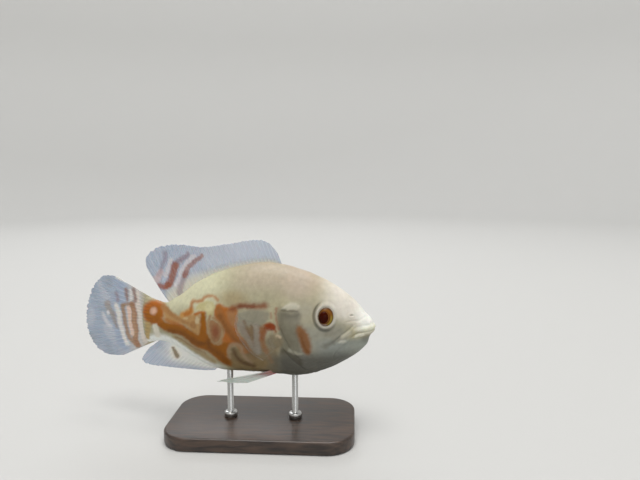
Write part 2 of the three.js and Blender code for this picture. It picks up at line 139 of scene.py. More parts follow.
def section(back):
    """Top, bottom, middle and half width of the cross-section at a distance back."""
    axis = SNOUT_AXIS + (TAIL_AXIS - SNOUT_AXIS) * back / BODY_LENGTH
    share = closing(back)
    top = axis + (back_line(back) - axis) * share
    bottom = axis + (belly_line(back) - axis) * share
    return top, bottom, (top + bottom) / 2, half_width(back) * share


def skin_point(back, angle, grow=0.0):
    """Points of the skin, from a distance back and an angle that turns from the right side to the back."""
    top, bottom, middle, half = section(back)
    up = np.sin(angle)
    out = np.cos(angle)
    power = 2 / np.where(up > 0, BACK_SQUARENESS(back), BELLY_SQUARENESS(back))
    reach = np.where(up > 0, top - middle, middle - bottom) + grow
    right = np.sign(out) * np.abs(out) ** power * (half + grow)
    height = middle + np.sign(up) * np.abs(up) ** power * reach
    return np.stack([back + 0 * angle, right, height], axis=-1)


def side_at(back, height):
    """How far the skin reaches out at a distance back and a height."""
    top, bottom, middle, half = section(back)
    upper = height > middle
    square = np.where(upper, BACK_SQUARENESS(back), BELLY_SQUARENESS(back))
    reach = np.where(upper, top - middle, middle - bottom)
    share = np.minimum(np.abs(height - middle) / np.maximum(reach, 0.01), 0.999)
    return half * (1 - share**square) ** (1 / square)


def bend(points):
    """Lays points of the straight fish along its bent backbone, in metres."""
    back, right, height = np.moveaxis(points, -1, 0)
    turn = np.maximum(back - BEND_FROM, 0) / BEND_RADIUS
    along = np.minimum(back, BEND_FROM) + BEND_RADIUS * np.sin(turn)
    aside = BEND_RADIUS * (1 - np.cos(turn))
    x = SNOUT_AT[0] - along - right * np.sin(turn)
    y = aside - right * np.cos(turn)
    return np.stack([x, y, SNOUT_AT[1] + height], axis=-1) * MM


print("the tail's end lies", round(float(bend(np.array([161.0, 0, 0]))[1]) / MM, 1), "mm to the left")

# %% [markdown]
# ## Camera, floor and light
# The photograph looks at the fish's right side from a little above and from slightly ahead of its
# middle. A product photographer would stand the model in a white bowl: a floor that curves up into a
# wall all round shows no horizon from any side. It is one profile, extruded and spun. A wide lamp high
# overhead makes the back bright and leaves the belly in shade. One weak lamp fills the front, one draws
# an edge of light from behind, and one lights the wall.

# %% Camera
CAMERA_AT = Vector((46.65, -282.34, 137.16)) * MM
CAMERA_YAW = math.radians(-3.38)
CAMERA_PITCH = math.radians(-7.36)

camera_data = bpy.data.cameras.new("camera")
camera_data.lens = 32
camera_data.sensor_width = 36
camera = bpy.data.objects.new("camera", camera_data)
bpy.context.scene.collection.objects.link(camera)
look = Vector((
    math.sin(CAMERA_YAW) * math.cos(CAMERA_PITCH),
    math.cos(CAMERA_YAW) * math.cos(CAMERA_PITCH),
    math.sin(CAMERA_PITCH),
))
camera.location = CAMERA_AT
camera.rotation_euler = look.to_track_quat("-Z", "Y").to_euler()
bpy.context.scene.camera = camera
print("camera", round(CAMERA_AT.length, 3), "m from the middle of the stand's foot")

# %% Helpers that turn a bmesh into a piece
collection = bpy.context.scene.collection.objects


def add_object(mesh, material):
    """A smooth-shaded object at the origin, with the name of its mesh."""
    mesh.materials.append(material)
    mesh.shade_smooth()
    made = bpy.data.objects.new(mesh.name, mesh)
    collection.link(made)
    return made


def new_mesh(name, bm):
    """A mesh made from a bmesh, which is freed."""
    mesh = bpy.data.meshes.new(name)
    bm.to_mesh(mesh)
    bm.free()
    return mesh


def dress(piece, slot, *nodes):
    """Says where a finished piece belongs: its body and the solids it stands for; slot is not used."""
    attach(piece, "root")
    if nodes:
        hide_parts(*nodes)
    triangles = sum(len(face.vertices) - 2 for face in piece.data.polygons)
    print(f"{piece.name}: {triangles} triangles")

# %% Nodes of a material
def start_material(name):
    """A new material, its nodes, its links and its main shader."""
    material = bpy.data.materials.new(name)
    material.use_nodes = True
    nodes = material.node_tree.nodes
    return material, nodes, material.node_tree.links, nodes["Principled BSDF"]


def noise(nodes, links, scale, detail=3.0):
    """A noise texture in the object's own coordinates, with scale in lumps per metre."""
    coordinates = nodes.new("ShaderNodeTexCoord")
    texture = nodes.new("ShaderNodeTexNoise")
    texture.inputs["Scale"].default_value = scale
    texture.inputs["Detail"].default_value = detail
    links.new(coordinates.outputs["Object"], texture.inputs["Vector"])
    return texture.outputs["Fac"]


def spread(nodes, links, value, low, high):
    """Spreads a value from 0.3..0.7 to low..high."""
    span = nodes.new("ShaderNodeMapRange")
    span.inputs["From Min"].default_value = 0.3
    span.inputs["From Max"].default_value = 0.7
    span.inputs["To Min"].default_value = low
    span.inputs["To Max"].default_value = high
    links.new(value, span.inputs["Value"])
    return span.outputs["Result"]

# %% Floor
FLOOR_GREY = (0.52, 0.52, 0.51, 1)
FLOOR_RADIUS = 1.3
FLOOR_CURVE = 0.6
WALL_TOP = 2.4
STEPS_AROUND = 96


def spin_round(bm, parts, steps, seam):
    """Spins a profile a full turn round the upright axis, and closes its seam and poles."""
    bmesh.ops.spin(
        bm, geom=parts, cent=(0, 0, 0), axis=(0, 0, 1), angle=2 * math.pi, steps=steps, use_merge=True,
    )
    bmesh.ops.remove_doubles(bm, verts=bm.verts, dist=seam)
    bmesh.ops.recalc_face_normals(bm, faces=bm.faces)


floor_paint, nodes, links, shader = start_material("floor_paint")
shader.inputs["Base Color"].default_value = FLOOR_GREY
links.new(spread(nodes, links, noise(nodes, links, 900), 0.55, 0.7), shader.inputs["Roughness"])

bm = bmesh.new()
middle = bm.verts.new((0, 0, 0))
rim = bm.verts.new((FLOOR_RADIUS, 0, 0))
bm.edges.new((middle, rim))
curve = bmesh.ops.spin(
    bm, geom=[rim], cent=(FLOOR_RADIUS, 0, FLOOR_CURVE), axis=(0, -1, 0), angle=math.pi / 2, steps=16,
)
end = next(part for part in curve["geom_last"] if isinstance(part, bmesh.types.BMVert))
wall = bmesh.ops.extrude_vert_indiv(bm, verts=[end])
for vertex in wall["verts"]:
    vertex.co.z = WALL_TOP
spin_round(bm, bm.verts[:] + bm.edges[:], STEPS_AROUND, 0.0001)
floor = add_object(new_mesh("floor", bm), floor_paint)
print("floor:", len(floor.data.polygons), "faces")

# %% Lights
def softbox(name, at, towards, width, depth, power, colour):
    """A rectangular lamp that faces a point."""
    data = bpy.data.lights.new(name, "AREA")
    data.shape = "RECTANGLE"
    data.size = width
    data.size_y = depth
    data.energy = power
    data.color = colour
    lamp = bpy.data.objects.new(name, data)
    lamp.location = at
    lamp.rotation_euler = (Vector(towards) - Vector(at)).to_track_quat("-Z", "Y").to_euler()
    lamp.visible_camera = False
    collection.link(lamp)


MIDDLE = (-0.02, 0, 0.06)
UP_THE_WALL = (0, 1.9, 0.7)
softbox("key", (0.12, -0.32, 2.2), MIDDLE, width=1.7, depth=1.2, power=46, colour=(1, 0.98, 0.95))
softbox("fill", (0.45, -1.1, 0.4), MIDDLE, width=0.9, depth=0.5, power=1.5, colour=(0.93, 0.96, 1))
softbox("wall", (0, 0.5, 1.7), UP_THE_WALL, width=1.8, depth=0.5, power=7, colour=(1, 1, 1))
softbox("rim", (-0.4, 1.0, 0.9), MIDDLE, width=0.8, depth=0.5, power=3, colour=(0.95, 0.97, 1))

world = bpy.data.worlds.new("room")
world.use_nodes = True
world.node_tree.nodes["Background"].inputs["Color"].default_value = (0.9, 0.94, 1, 1)
world.node_tree.nodes["Background"].inputs["Strength"].default_value = 0.36
bpy.context.scene.world = world
bpy.context.scene.view_settings.view_transform = "Standard"
print("lamps: key, fill, wall and rim")

# %% [markdown]
# ## Tools for drawing on a fish
# The markings and the folds of the skin are both lines and patches on the flank. Each is written as a
# few points, back from the snout and up from the mouth, and a smooth curve is drawn through them. The
# distance to that curve then says how much colour or how much height a point of the skin gets. Colour is
# stored in the vertices, so that the skin and the scales over it are painted by the same function.

# %% Distances to drawn lines
FAR = 99.0
WAVES = 7


def rise(x, start, end):
    """0 before start and 1 after end, with a soft change between them."""
    u = np.clip((x - start) / (end - start), 0, 1)
    return u * u * (3 - 2 * u)


def lerp(start, end, share):
    """Part of the way from start to end."""
    return start + (end - start) * share


def hump(x):
    """A round hump, 1 at 0, and 0 from 1 and -1 outwards."""
    return np.clip(1 - x * x, 0, 1) ** 2


def drawn(knots, steps=6):
    """Points along a smooth curve through a few knots."""
    knots = np.array(knots, float)
    around = np.vstack([2 * knots[0] - knots[1], knots, 2 * knots[-1] - knots[-2]])
    u = np.linspace(0, 1, steps, endpoint=False)[:, None]
    parts = []
    for a, b, c, d in zip(around, around[1:], around[2:], around[3:]):
        parts.append(b + 0.5 * u * (c - a + u * (2 * a - 5 * b + 4 * c - d + u * (3 * (b - c) + d - a))))
    return np.vstack([*parts, knots[-1:]])


def to_line(back, height, line, reach=6.0):
    """Distance of points to a line, how far along it that is, and which side of the line they are on."""
    distance = np.full(back.shape, FAR)
    share = np.zeros(back.shape)
    side = np.ones(back.shape)
    low = line.min(axis=0) - reach
    high = line.max(axis=0) + reach
    near = (back > low[0]) & (back < high[0]) & (height > low[1]) & (height < high[1])
    x = back[near]
    y = height[near]
    best, along, which = distance[near], share[near], side[near]
    for i, (a, b) in enumerate(zip(line, line[1:])):
        way = b - a
        u = np.clip(((x - a[0]) * way[0] + (y - a[1]) * way[1]) / max(way @ way, 1e-9), 0, 1)
        dx = x - a[0] - u * way[0]
        dy = y - a[1] - u * way[1]
        gap = np.hypot(dx, dy)
        closer = gap < best
        best = np.where(closer, gap, best)
        along = np.where(closer, (i + u) / (len(line) - 1), along)
        which = np.where(closer, np.sign(way[1] * dx - way[0] * dy), which)
    distance[near], share[near], side[near] = best, along, which
    return distance, share, side


def within(back, height, outline):
    """True where points lie inside a closed outline."""
    inside = np.zeros(back.shape, bool)
    for (ax, ay), (bx, by) in zip(outline, np.roll(outline, -1, axis=0)):
        crosses = (ay > height) != (by > height)
        inside ^= crosses & (back < (bx - ax) * (height - ay) / (by - ay + 1e-9) + ax)
    return inside


def wobble(points, size, seed):
    """Smooth uneven values between about -1 and 1, which change over a distance of about size."""
    draw = np.random.default_rng(seed)
    total = np.zeros(len(points))
    for _ in range(WAVES):
        way = draw.normal(size=points.shape[1])
        way *= 2 * math.pi / (size * draw.uniform(0.8, 2.2) * np.linalg.norm(way))
        total += np.sin(points @ way + draw.uniform(0, 2 * math.pi))
    return total / (WAVES / 2)


print("a line through 3 knots is drawn with", len(drawn([(0, 0), (5, 2), (9, 1)])), "points")

# %% Paint
STRAY_OVER = 7
SHIVER = 0.2
SHIVER_OVER = 1.6


def linear(code):
    """A colour written as in a paint chart, as linear light."""
    chart = np.array([int(code[i:i + 2], 16) for i in (1, 3, 5)]) / 255
    return np.where(chart > 0.04045, ((chart + 0.055) / 1.055) ** 2.4, chart / 12.92)


def tint(colours, code, share):
    """Moves an array of colours towards one colour, by a share for each."""
    colours += share[:, None] * (linear(code) - colours)


class Paint:
    """Colours of many points on the fish, laid one mark over the other with unsteady edges."""

    def __init__(self, back, height, ground, stray, seed):
        spots = np.stack([back, height], axis=-1)
        self.back = back + stray * wobble(spots, STRAY_OVER, seed)
        self.back = self.back + SHIVER * wobble(spots, SHIVER_OVER, seed + 1)
        self.height = height + stray * wobble(spots, STRAY_OVER, seed + 2)
        self.height = self.height + SHIVER * wobble(spots, SHIVER_OVER, seed + 3)
        self.colour = np.tile(linear(ground), (len(back), 1))

    def lay(self, code, cover):
        """Lays a colour where cover is above 0."""
        tint(self.colour, code, np.clip(cover, 0, 1))

    def stroke(self, code, half, *knots, soft=0.6, strength=1.0):
        """A brush stroke with a half width, or with one at each end."""
        distance, share, _ = to_line(self.back, self.height, drawn(knots))
        start, end = half if isinstance(half, tuple) else (half, half)
        wide = start + (end - start) * share
        self.lay(code, strength * (1 - rise(distance, wide - soft, wide + soft)))

    def patch(self, code, *outline, soft=0.8, strength=1.0):
        """A filled patch with a soft edge."""
        line = drawn([*outline, outline[0]])
        distance, _, _ = to_line(self.back, self.height, line)
        depth = np.where(within(self.back, self.height, line[:-1]), distance, -distance)
        self.lay(code, strength * rise(depth, -soft, soft))

    def spot(self, code, centre, radii, soft=0.35, strength=1.0):
        """An oval spot with its soft edge as a share of its size."""
        out = np.hypot((self.back - centre[0]) / radii[0], (self.height - centre[1]) / radii[1])
        self.lay(code, strength * (1 - rise(out, 1 - soft, 1 + soft)))


print("drawing tools ready")

# %% [markdown]
# ## The markings
# An albino tiger oscar is cream, with orange where a wild one is rust red: a ring on the root of the
# tail, a band that runs forward from it, and a marbled saddle on the flank. The colours go from the
# ground up, as on a painted model: first the broad tints, then the patches, then the fine lines and the
# spots. Some tints and strokes are painted shade, on the gill cover, the jaw, the underside and in the
# grooves of the head, and a few strokes are painted highlights on the lips, the jaw, the gill cover and
# the root of the pectoral fin. The left flank wears the same marks, strayed further, because no fish is
# the same on both sides. On the head and along the ridges the two sides agree, so that colour and folds
# match and no seam shows.

# %% Tints of the ground
CREAM = "#b0a98c"
WARM_WHITE = "#f2f3ec"
PINK_WHITE = "#dad4c9"
YELLOW_BACK = "#d2ceae"
NAPE = "#b6a793"
TAN = "#b48c5a"
SALMON = "#b17c4c"
CHEEK_GREY = "#9a988a"
# The next four colours are painted shade: the gill cover, the lower jaw and the throat in shade, and the
# lower flank, brown and in shade.
GILL_SHADE = "#767261"
JAW_SHADE = "#929790"
THROAT_SHADE = "#5c5b54"
LOW_SHADE_BROWN = "#85704e"
ORANGE = "#ac6426"
DEEP_ORANGE = "#965806"
RED_BROWN = "#70400c"
DULL_ORANGE = "#a3774a"
OCHRE = "#b59c6a"
GOLD = "#c48c44"
LEG_BROWN = "#6f4a2a"
GILL_RED = "#8c4526"
# painted shade in the grooves beside the jaws
JAW_GROOVE_SHADE = "#6a6456"


def tint_ground(paint):
    """Broad tints: a yellowish back, a pink nape, a pale snout, a grey cheek, a white rear belly, and painted
    shade on the gill cover, the jaw and the underside.
    """
    back, height = paint.back, paint.height
    paint.lay(YELLOW_BACK, 0.9 * rise(height, 4, 16) * rise(back, 66, 86) * rise(back, 114, 104))
    paint.lay(NAPE, 0.85 * rise(height, 17, 27) * rise(back, 12, 34) * rise(back, 80, 58))
    paint.lay("#a29a80", 0.6 * hump((back - 55) / 20) * hump((height - 19.5) / 8))
    paint.lay(PINK_WHITE, 0.95 * rise(height - 0.35 * back, -2, 6) * rise(back, 32, 18))
    paint.lay(WARM_WHITE, 0.8 * rise(back, 12, 5) * rise(height, -1, 3))
    paint.lay(CHEEK_GREY, 0.95 * rise(back, 10, 18) * rise(back, 46, 38) * rise(height, 11, 2))
    # painted shade: the rear of the gill cover is greyer where it lies in shade
    paint.lay(GILL_SHADE, 0.9 * rise(back, 35, 39) * rise(back, 49, 46) * rise(height, 18, 9))
    # painted shade: the lower jaw is darker and greyer where it lies in shade
    paint.lay(JAW_SHADE, 0.9 * rise(height, 0, -4) * rise(back, 34, 22))
    # painted shade mixed with brown: the lower flank is darker and browner where it turns away from the light
    paint.lay(LOW_SHADE_BROWN, 0.8 * rise(height, 3, -4) * rise(back, 46, 50) * rise(back, 80, 66))
    # painted shade: the throat is dark grey where it lies in shade
    paint.lay(THROAT_SHADE, 0.9 * rise(height, -5.5, -13) * rise(back, 4, 13) * rise(back, 62, 44))
    paint.lay(WARM_WHITE, rise(height - belly_line(back), 5.8, 3) * rise(back, 73, 84))


print("cream in linear light:", linear(CREAM).round(3))

# %% Marks of the flank
def mark_saddle(paint):
    """The marbled saddle between the gill cover and the loop."""
    paint.spot("#a08a62", (70.5, 17.4), (6.5, 4.2), soft=0.7, strength=0.6)
    # painted shade mixed with brown: the lower saddle is darker where the flank turns under
    paint.patch(
        LOW_SHADE_BROWN, (66, -3), (61, -5), (57, -9), (54, -14), (57, -18.5), (66, -20), (74, -18.5),
        (74, -11), (69, -7), soft=2,
    )
    paint.patch(
        DEEP_ORANGE, (90, -1.6), (85.4, -0.4), (82, -2), (80.8, -5), (78, -5.4), (75, -3.4),
        (72.2, -2.8), (70.2, -4.8), (72.4, -7.5), (73.2, -10.4), (72.6, -17.4), (76, -16.8),
        (79, -14.4), (82.4, -11.8), (86, -10), (90, -8.4), soft=1.2,
    )
    paint.patch(
        ORANGE, (80.2, 13.6), (77.7, 15.2), (75, 14.2), (72.6, 13.8), (70, 14.4), (67.8, 13),
        (67.8, 8), (67.8, 3.4), (66.2, -0.6), (63.4, -3.4), (61.6, -7.6), (65.6, -9.4), (68, -5.8),
        (70.8, -4.6), (74, -4), (76, -3.2), (74.6, 0.4), (75, 3.4), (77, 6.3), (79.6, 8.7), soft=1,
    )
    paint.patch(
        "#a47a52", (73.4, 11.6), (71, 13.4), (68.6, 12.6), (68.4, 8.6), (68.2, 5), (70, 4), (72, 7),
        soft=1.3, strength=0.8,
    )
    paint.stroke(
        "#9a6434", (2, 2.2), (77.8, 12), (75.6, 8), (72.6, 3.4), (69.8, 0.2), (67, -2.6), (64.4, -6.4),
        soft=1.4, strength=0.9,
    )
    paint.stroke(
        RED_BROWN, (1, 1.4), (76.8, 9.5), (73.6, 3.6), (70.4, -0.8), (67, -4), soft=1.5, strength=0.5,
    )
    paint.stroke(
        RED_BROWN, 1.8, (87, -6), (81.5, -8.6), (77, -11.4), (74.6, -15), soft=2.2, strength=0.75,
    )
    paint.stroke(RED_BROWN, (0.8, 2), (85.4, 1), (85.2, -2.4), (84.4, -5.2), soft=1.6, strength=0.75)
    paint.stroke("#7c6042", 1.5, (65.4, -4.4), (62.8, -7.6), (60.6, -11), soft=1.7, strength=0.7)
    paint.stroke(
        "#82472a", (1.1, 1.4), (71, 13), (67.4, 14.4), (64, 15.1), (61, 14.7), (57.7, 14.9),
        (54.5, 15.7), soft=1.6, strength=0.88,
    )
    for back in (66, 63.4, 60.4):
        paint.spot("#6d3119", (back, 14.9), (1.5, 0.9), soft=0.6, strength=0.6)

# %% Marks behind the gill cover
def mark_behind_gill(paint):
    """The grey patch with its two pale legs, and the arch behind the gill cover."""
    paint.patch(
        "#938d7a", (67.6, 11.6), (62.5, 13), (56, 13.2), (52.4, 12.2), (52.6, 8.4), (55.3, 5.6),
        (57.7, 4.4), (60.6, 5), (63.5, 4.6), (66.5, 3.6), (67.8, 7.8), soft=1,
    )
    # painted shade mixed with brown: darker below the grey patch
    paint.patch(
        LOW_SHADE_BROWN, (66.5, 4), (61, 5), (56, 4.6), (55.6, -4), (57, -9), (61, -7), (64, -2), soft=1,
    )
    paint.stroke(LEG_BROWN, 0.8, (64.7, 7.2), (63.3, 4), (61.9, 0.6), soft=0.8, strength=0.6)
    paint.stroke(
        LEG_BROWN, (0.8, 1), (61.1, 5.3), (60.2, 2.3), (59.4, -1.9), (58.6, -5.8), soft=0.8,
        strength=0.6,
    )
    paint.stroke(
        "#928677", (1.7, 1.1), (66.6, 5.5), (64.1, 1), (61.4, -3.6), (58.5, -9), soft=0.8,
        strength=0.9,
    )
    paint.stroke("#968d7f", (1.7, 1.2), (58.5, 5.4), (58.3, -0.8), (57.8, -8.4), soft=0.8, strength=0.9)
    paint.stroke(
        "#93602f", (1.3, 1), (55.8, 4), (55.9, 0.8), (55.5, -3.4), (54.3, -8.3), soft=1.1,
        strength=0.8,
    )
    paint.stroke("#96704f", (1, 0.7), (54.3, -8.3), (51.6, -14), soft=1, strength=0.5)
    paint.spot("#887c63", (49.6, -2.4), (4, 4.4), soft=0.3)
    paint.stroke("#8e5428", (1.1, 1.7), (56.2, -1), (55.4, 2.2), (53.6, 4.6), (51.8, 5.2), soft=1)
    paint.stroke("#8c4a26", (1.4, 0.6), (50.6, 4.6), (49.2, 2.8), soft=0.7, strength=0.85)
    paint.spot("#8a3a10", (51.9, 5), (2.5, 1.9), soft=0.45, strength=0.95)
    paint.stroke(GILL_RED, 0.5, (48.8, 14), (49, 11), (48.5, 7), (47.6, 4), soft=0.7, strength=0.62)
    paint.stroke(GILL_RED, 0.4, (51.4, 12), (51.2, 9.4), soft=0.5, strength=0.5)
    # painted highlight: a bright speck on the pad at the root of the pectoral fin
    paint.stroke("#cbb99d", 0.6, (48.6, 0.9), (46.9, 0.1), soft=0.5, strength=0.8)
    paint.stroke(
        "#9c8468", 0.8, (72.8, -12.4), (72.6, -8.1), (71.4, -5.6), (68.8, -4.6), (66.7, -6),
        (65.9, -8.8), (64.4, -12.2), (61.7, -15), soft=0.9, strength=0.9,
    )
    paint.stroke(
        "#4a2f17", (0.8, 1.3), (70.1, -7.9), (68.9, -11.8), (66.2, -14.7), (61, -16.6), soft=1.3,
        strength=0.8,
    )

# %% Marks of the tail stalk
def mark_stalk(paint):
    """The band from the ring forwards, and the net of fine lines over it."""
    paint.patch(
        TAN, (110, 10.4), (104, 8), (98.5, 7), (93, 8.8), (88, 9.4), (87.4, 3), (88, -1), (91, -1.6),
        (95, 2), (100, 3), (107, 3.4), soft=1.2,
    )
    paint.stroke(
        "#a58c64", (1.1, 1.7), (103, -4.6), (97.5, -6.8), (93, -9.2), (88.6, -11.6), (85.5, -13.5),
        (81.9, -15.6), soft=1.3, strength=0.8,
    )
    paint.stroke(
        DEEP_ORANGE, (2.4, 3.6), (112.5, 2.4), (108.5, 0.7), (103.5, 0.1), (98.6, -0.6), (94.6, -2.4),
        (91, -4.4), (87.4, -5.6), soft=1,
    )
    paint.stroke(
        RED_BROWN, (1, 2.2), (106, -1.2), (99, -2), (94.4, -4), (89, -6.2), (85, -5), soft=1.6,
        strength=0.7,
    )
    paint.stroke(
        RED_BROWN, 0.35, (102.3, -4.6), (98.2, -6), (94.2, -8), (89.7, -9.8), (85.9, -11.8), soft=0.7,
        strength=0.6,
    )
    paint.stroke(DEEP_ORANGE, (1.5, 2.3), (85.6, 9.4), (85.6, 5.6), (85.8, 1.4), (86.2, -3), soft=0.9)
    paint.stroke(
        DULL_ORANGE, (1.5, 0.8), (112, 10.8), (108.3, 9.6), (105.4, 7.9), (102.2, 6.2), (98.5, 4.8),
        (94.4, 3.8), soft=0.8,
    )
    paint.stroke(ORANGE, 0.9, (108, 4.4), (104, 3.2), (100, 2.6), (96.5, 0.8), soft=0.9, strength=0.7)
    paint.spot(DULL_ORANGE, (91.6, 3.4), (1.8, 2))
    paint.spot("#c9b48c", (96.4, 6.6), (1.5, 1.1), strength=0.7)
    paint.spot("#cdbb97", (89.2, 6), (1.1, 1.9), strength=0.8)
    paint.stroke(GOLD, (1.3, 1.5), (98, 7.6), (95, 9.2), (92.8, 10.6), soft=0.9, strength=0.9)
    paint.stroke(
        ORANGE, (1, 0.6), (96.4, 8.2), (93.8, 9.6), (92.7, 12.4), (92.2, 15), (89.4, 15.6),
        (86.5, 16.2), (85.5, 17.5), (82.8, 18.7), (80, 18.7), (78.3, 17), soft=0.9, strength=0.8,
    )
    paint.stroke(ORANGE, 0.7, (90.4, 9), (88, 9.8), (85.4, 10.6), soft=0.6, strength=0.9)
    paint.patch(
        "#c3b787", (90.4, 11.4), (88.6, 14.4), (86.4, 15.2), (83.2, 16), (80.8, 15.6), (79.8, 13.5),
        (80.4, 10.4), (80.8, 8.8), (83, 8.8), (84.2, 11), (87.4, 11), soft=0.8,
    )
    paint.spot("#d0c79c", (82.8, 12.8), (2, 2.2), soft=0.5, strength=0.8)
    paint.patch(
        "#936238", (82.4, 6.4), (80.6, 7), (78, 6), (75.8, 3.4), (75.8, 0.2), (77, -3), (79.4, -5),
        (81.4, -4), (82.4, -1), (82.8, 3.4), soft=0.6, strength=0.85,
    )
    paint.spot("#8a5436", (79.3, 1.2), (1.9, 3.4), soft=0.5)
    paint.stroke(
        "#a2835e", (0.7, 0.4), (81.8, 8.6), (82.9, 4.8), (82.9, 1.1), (82.2, -2.5), (80.6, -5.2),
        (78.4, -5.2), soft=0.6,
    )
    paint.stroke(
        "#a07a50", (0.4, 0.5), (78.4, -5.2), (76.2, -3), (75.1, 0.3), (75.3, 3.4), (77.1, 6.3),
        (80.3, 8.1), soft=0.6,
    )

# %% The ring on the root of the tail
def mark_ring(paint):
    """The orange ring with a pale heart on the root of the tail."""
    paint.spot(ORANGE, (116.3, 6.9), (7, 6.3), soft=0.25)
    paint.spot(DEEP_ORANGE, (115.6, 5.6), (5.2, 4.6), soft=0.35, strength=0.7)
    paint.stroke(
        "#b8622a", 1, (121, 8.4), (119, 11), (115.5, 11.9), (112, 10.6), soft=1.2, strength=0.35,
    )
    paint.spot("#d6ab92", (115.9, 7.8), (2.1, 1.9), soft=0.5)
    paint.stroke(OCHRE, (2, 1.4), (119.7, 0), (120.6, -3.6), (120.6, -7.2), soft=0.8)
    paint.stroke("#ded7c6", 1.9, (114.7, -0.8), (114, -4.6), soft=0.9)
    paint.stroke(DULL_ORANGE, (1.4, 1), (110.4, 10.2), (107, 8.6), (104.4, 7), soft=0.8, strength=0.8)

# %% Marks of the head
def mark_head(paint):
    """The gill cover's stripe and brow, tones round the eye, and painted shade and highlights on the jaws and
    the cover's edges.
    """
    paint.lay("#a8a291", 0.8 * hump((paint.back - 36) / 12) * hump((paint.height - 13) / 9))
    paint.lay("#b9ab9c", 0.6 * rise(paint.height, 16, 22) * hump((paint.back - 38) / 12))
    # painted shade along the rear edge of the gill cover
    paint.stroke(
        "#665f50", (1.3, 1.8), (47.6, 13), (47.4, 8.6), (46.2, 4), (44, 0), (42, -3.4), soft=1.8,
        strength=0.4,
    )
    # painted shadow in the deep groove under the gill cover
    paint.stroke(
        "#4c463a", (1.1, 0.9), (45.4, -7.6), (42.3, -8.6), (39.4, -11.6), (37, -14.6), soft=1.1,
        strength=0.7,
    )
    paint.patch(
        "#86562c", (38.4, 5.4), (36.6, 5), (33.8, 1.8), (32, -2.4), (31.8, -6.8), (33.1, -9.8),
        (35, -8.8), (36.8, -4.8), (38, -0.8), (38.7, 2.6), soft=1.4, strength=0.92,
    )
    paint.stroke(
        RED_BROWN, (0.5, 1.1), (37.4, 1), (36.4, -2.6), (35.4, -5.8), (34.4, -8), soft=1.1,
        strength=0.6,
    )
    # painted shade under the brow of the gill cover
    paint.stroke(
        "#666254", (1.2, 1.6), (46.2, 10.8), (41.4, 10.4), (38.6, 10.8), soft=1.8, strength=0.75,
    )
    paint.patch(
        "#c6c1ae", (46.4, 13.8), (44.4, 15.7), (41, 16.8), (38, 16.2), (37.2, 14.6), (40, 13.8),
        (43, 13.6), soft=0.7, strength=0.9,
    )
    # painted highlight along the lower edge of the gill cover
    paint.stroke("#a9a695", (0.7, 0.5), (42.4, -6.8), (39.6, -8.4), (37, -9.2), soft=0.8, strength=0.75)
    # painted shadow: a dark line under the brow ridge
    paint.stroke("#5b5547", 0.4, (46, 13.2), (42.4, 12.8), (38.7, 13), soft=0.6, strength=0.8)
    # painted shade in the groove between the cheek and the lower jaw, and behind the fold of the upper jaw
    paint.stroke(JAW_GROOVE_SHADE, (0.6, 1.4), (17.6, -0.8), (21, -3.4), (25, -5.4), soft=1.2, strength=0.5)
    paint.stroke(JAW_GROOVE_SHADE, (1.4, 0.6), (24, 1.2), (19.4, 2), (17.6, 3.4), soft=1.4, strength=0.3)
    paint.stroke("#d8d9b8", (1.8, 1), (0, 2.6), (3, 2.6), (6, 2.4), soft=1.3, strength=0.6)
    # painted highlight on the lower lip
    paint.stroke("#dcd9c8", 0.7, (9.8, -0.6), (8, -0.2), (6.4, -0.2), soft=0.5, strength=0.9)
    # painted highlight on the bump of the chin
    paint.stroke("#d2cfc0", 0.6, (17.4, -2.8), (15.4, -3), soft=0.9, strength=0.8)
    # painted highlight on the fold of the upper jaw
    paint.stroke("#bdb8a6", 1.1, (16.2, -0.4), (14.6, 0.4), (13, 1.6), soft=0.8, strength=0.7)

# %% All marks together
STRAY = {1: 0.25, -1: 1.5}
STRAY_FROM_RIDGE = 4
STRAY_BEHIND = (38, 52)


def painted(points):
    """The colour of points on the fish, given straight as back, right and height."""
    colour = np.empty((len(points), 3))
    for side, stray in STRAY.items():
        here = points[:, 1] * side >= 0
        free = rise(np.abs(points[here, 1]), 0, STRAY_FROM_RIDGE) * rise(points[here, 0], *STRAY_BEHIND)
        stray = lerp(STRAY[1], stray, free)
        paint = Paint(points[here, 0], points[here, 2], CREAM, stray, seed=3 - side)
        tint_ground(paint)
        mark_saddle(paint)
        mark_behind_gill(paint)
        mark_stalk(paint)
        mark_ring(paint)
        mark_head(paint)
        colour[here] = paint.colour
    return colour


print("ring at the tail:", painted(np.array([[119.0, 1, 8]])).round(3)[0])

# %% [markdown]
# ## One skin
# A real fish has no seams, so one closed skin stands for the head, the jaw, the gill covers, the trunk
# and the tail stalk. It starts as a sphere whose two poles become the snout and the end of the stalk.
# Each ring moves to a cross-section and each column to an angle. Blender starts a sphere's columns half a
# step past the X axis, so that half is taken off before they are numbered. The rings lie closest on the
# head, where the detail is. The skin lies a little inside the solids, by the depth of the scales.

# %% Rings and columns
RINGS = 306
COLUMNS = 310
COAT_DEPTH = 0.2
FINENESS = through([(0, 1.9), (40, 1.9), (52, 1.15), (124, 0.95)])
TALLNESS = 2.1
STEPS_WALKED = 4001


def ring_places():
    """How far back each ring lies."""
    fine = BODY_LENGTH * (1 - np.cos(np.linspace(0, math.pi, STEPS_WALKED))) / 2
    top, bottom, _, _ = section(fine)
    walked = np.cumsum(np.hypot(np.diff(fine), np.diff(top - bottom) / 2) * FINENESS(fine[1:]))
    return np.interp(np.linspace(0, walked[-1], RINGS + 1), np.r_[0, walked], fine)


def column_angles():
    """The angle of each column, so that they lie evenly round a tall oval."""
    fine = np.linspace(0, 2 * math.pi, STEPS_WALKED)
    walked = np.cumsum(np.hypot(np.diff(np.cos(fine)), TALLNESS * np.diff(np.sin(fine))))
    return np.interp(np.linspace(0, walked[-1], COLUMNS + 1), np.r_[0, walked], fine)


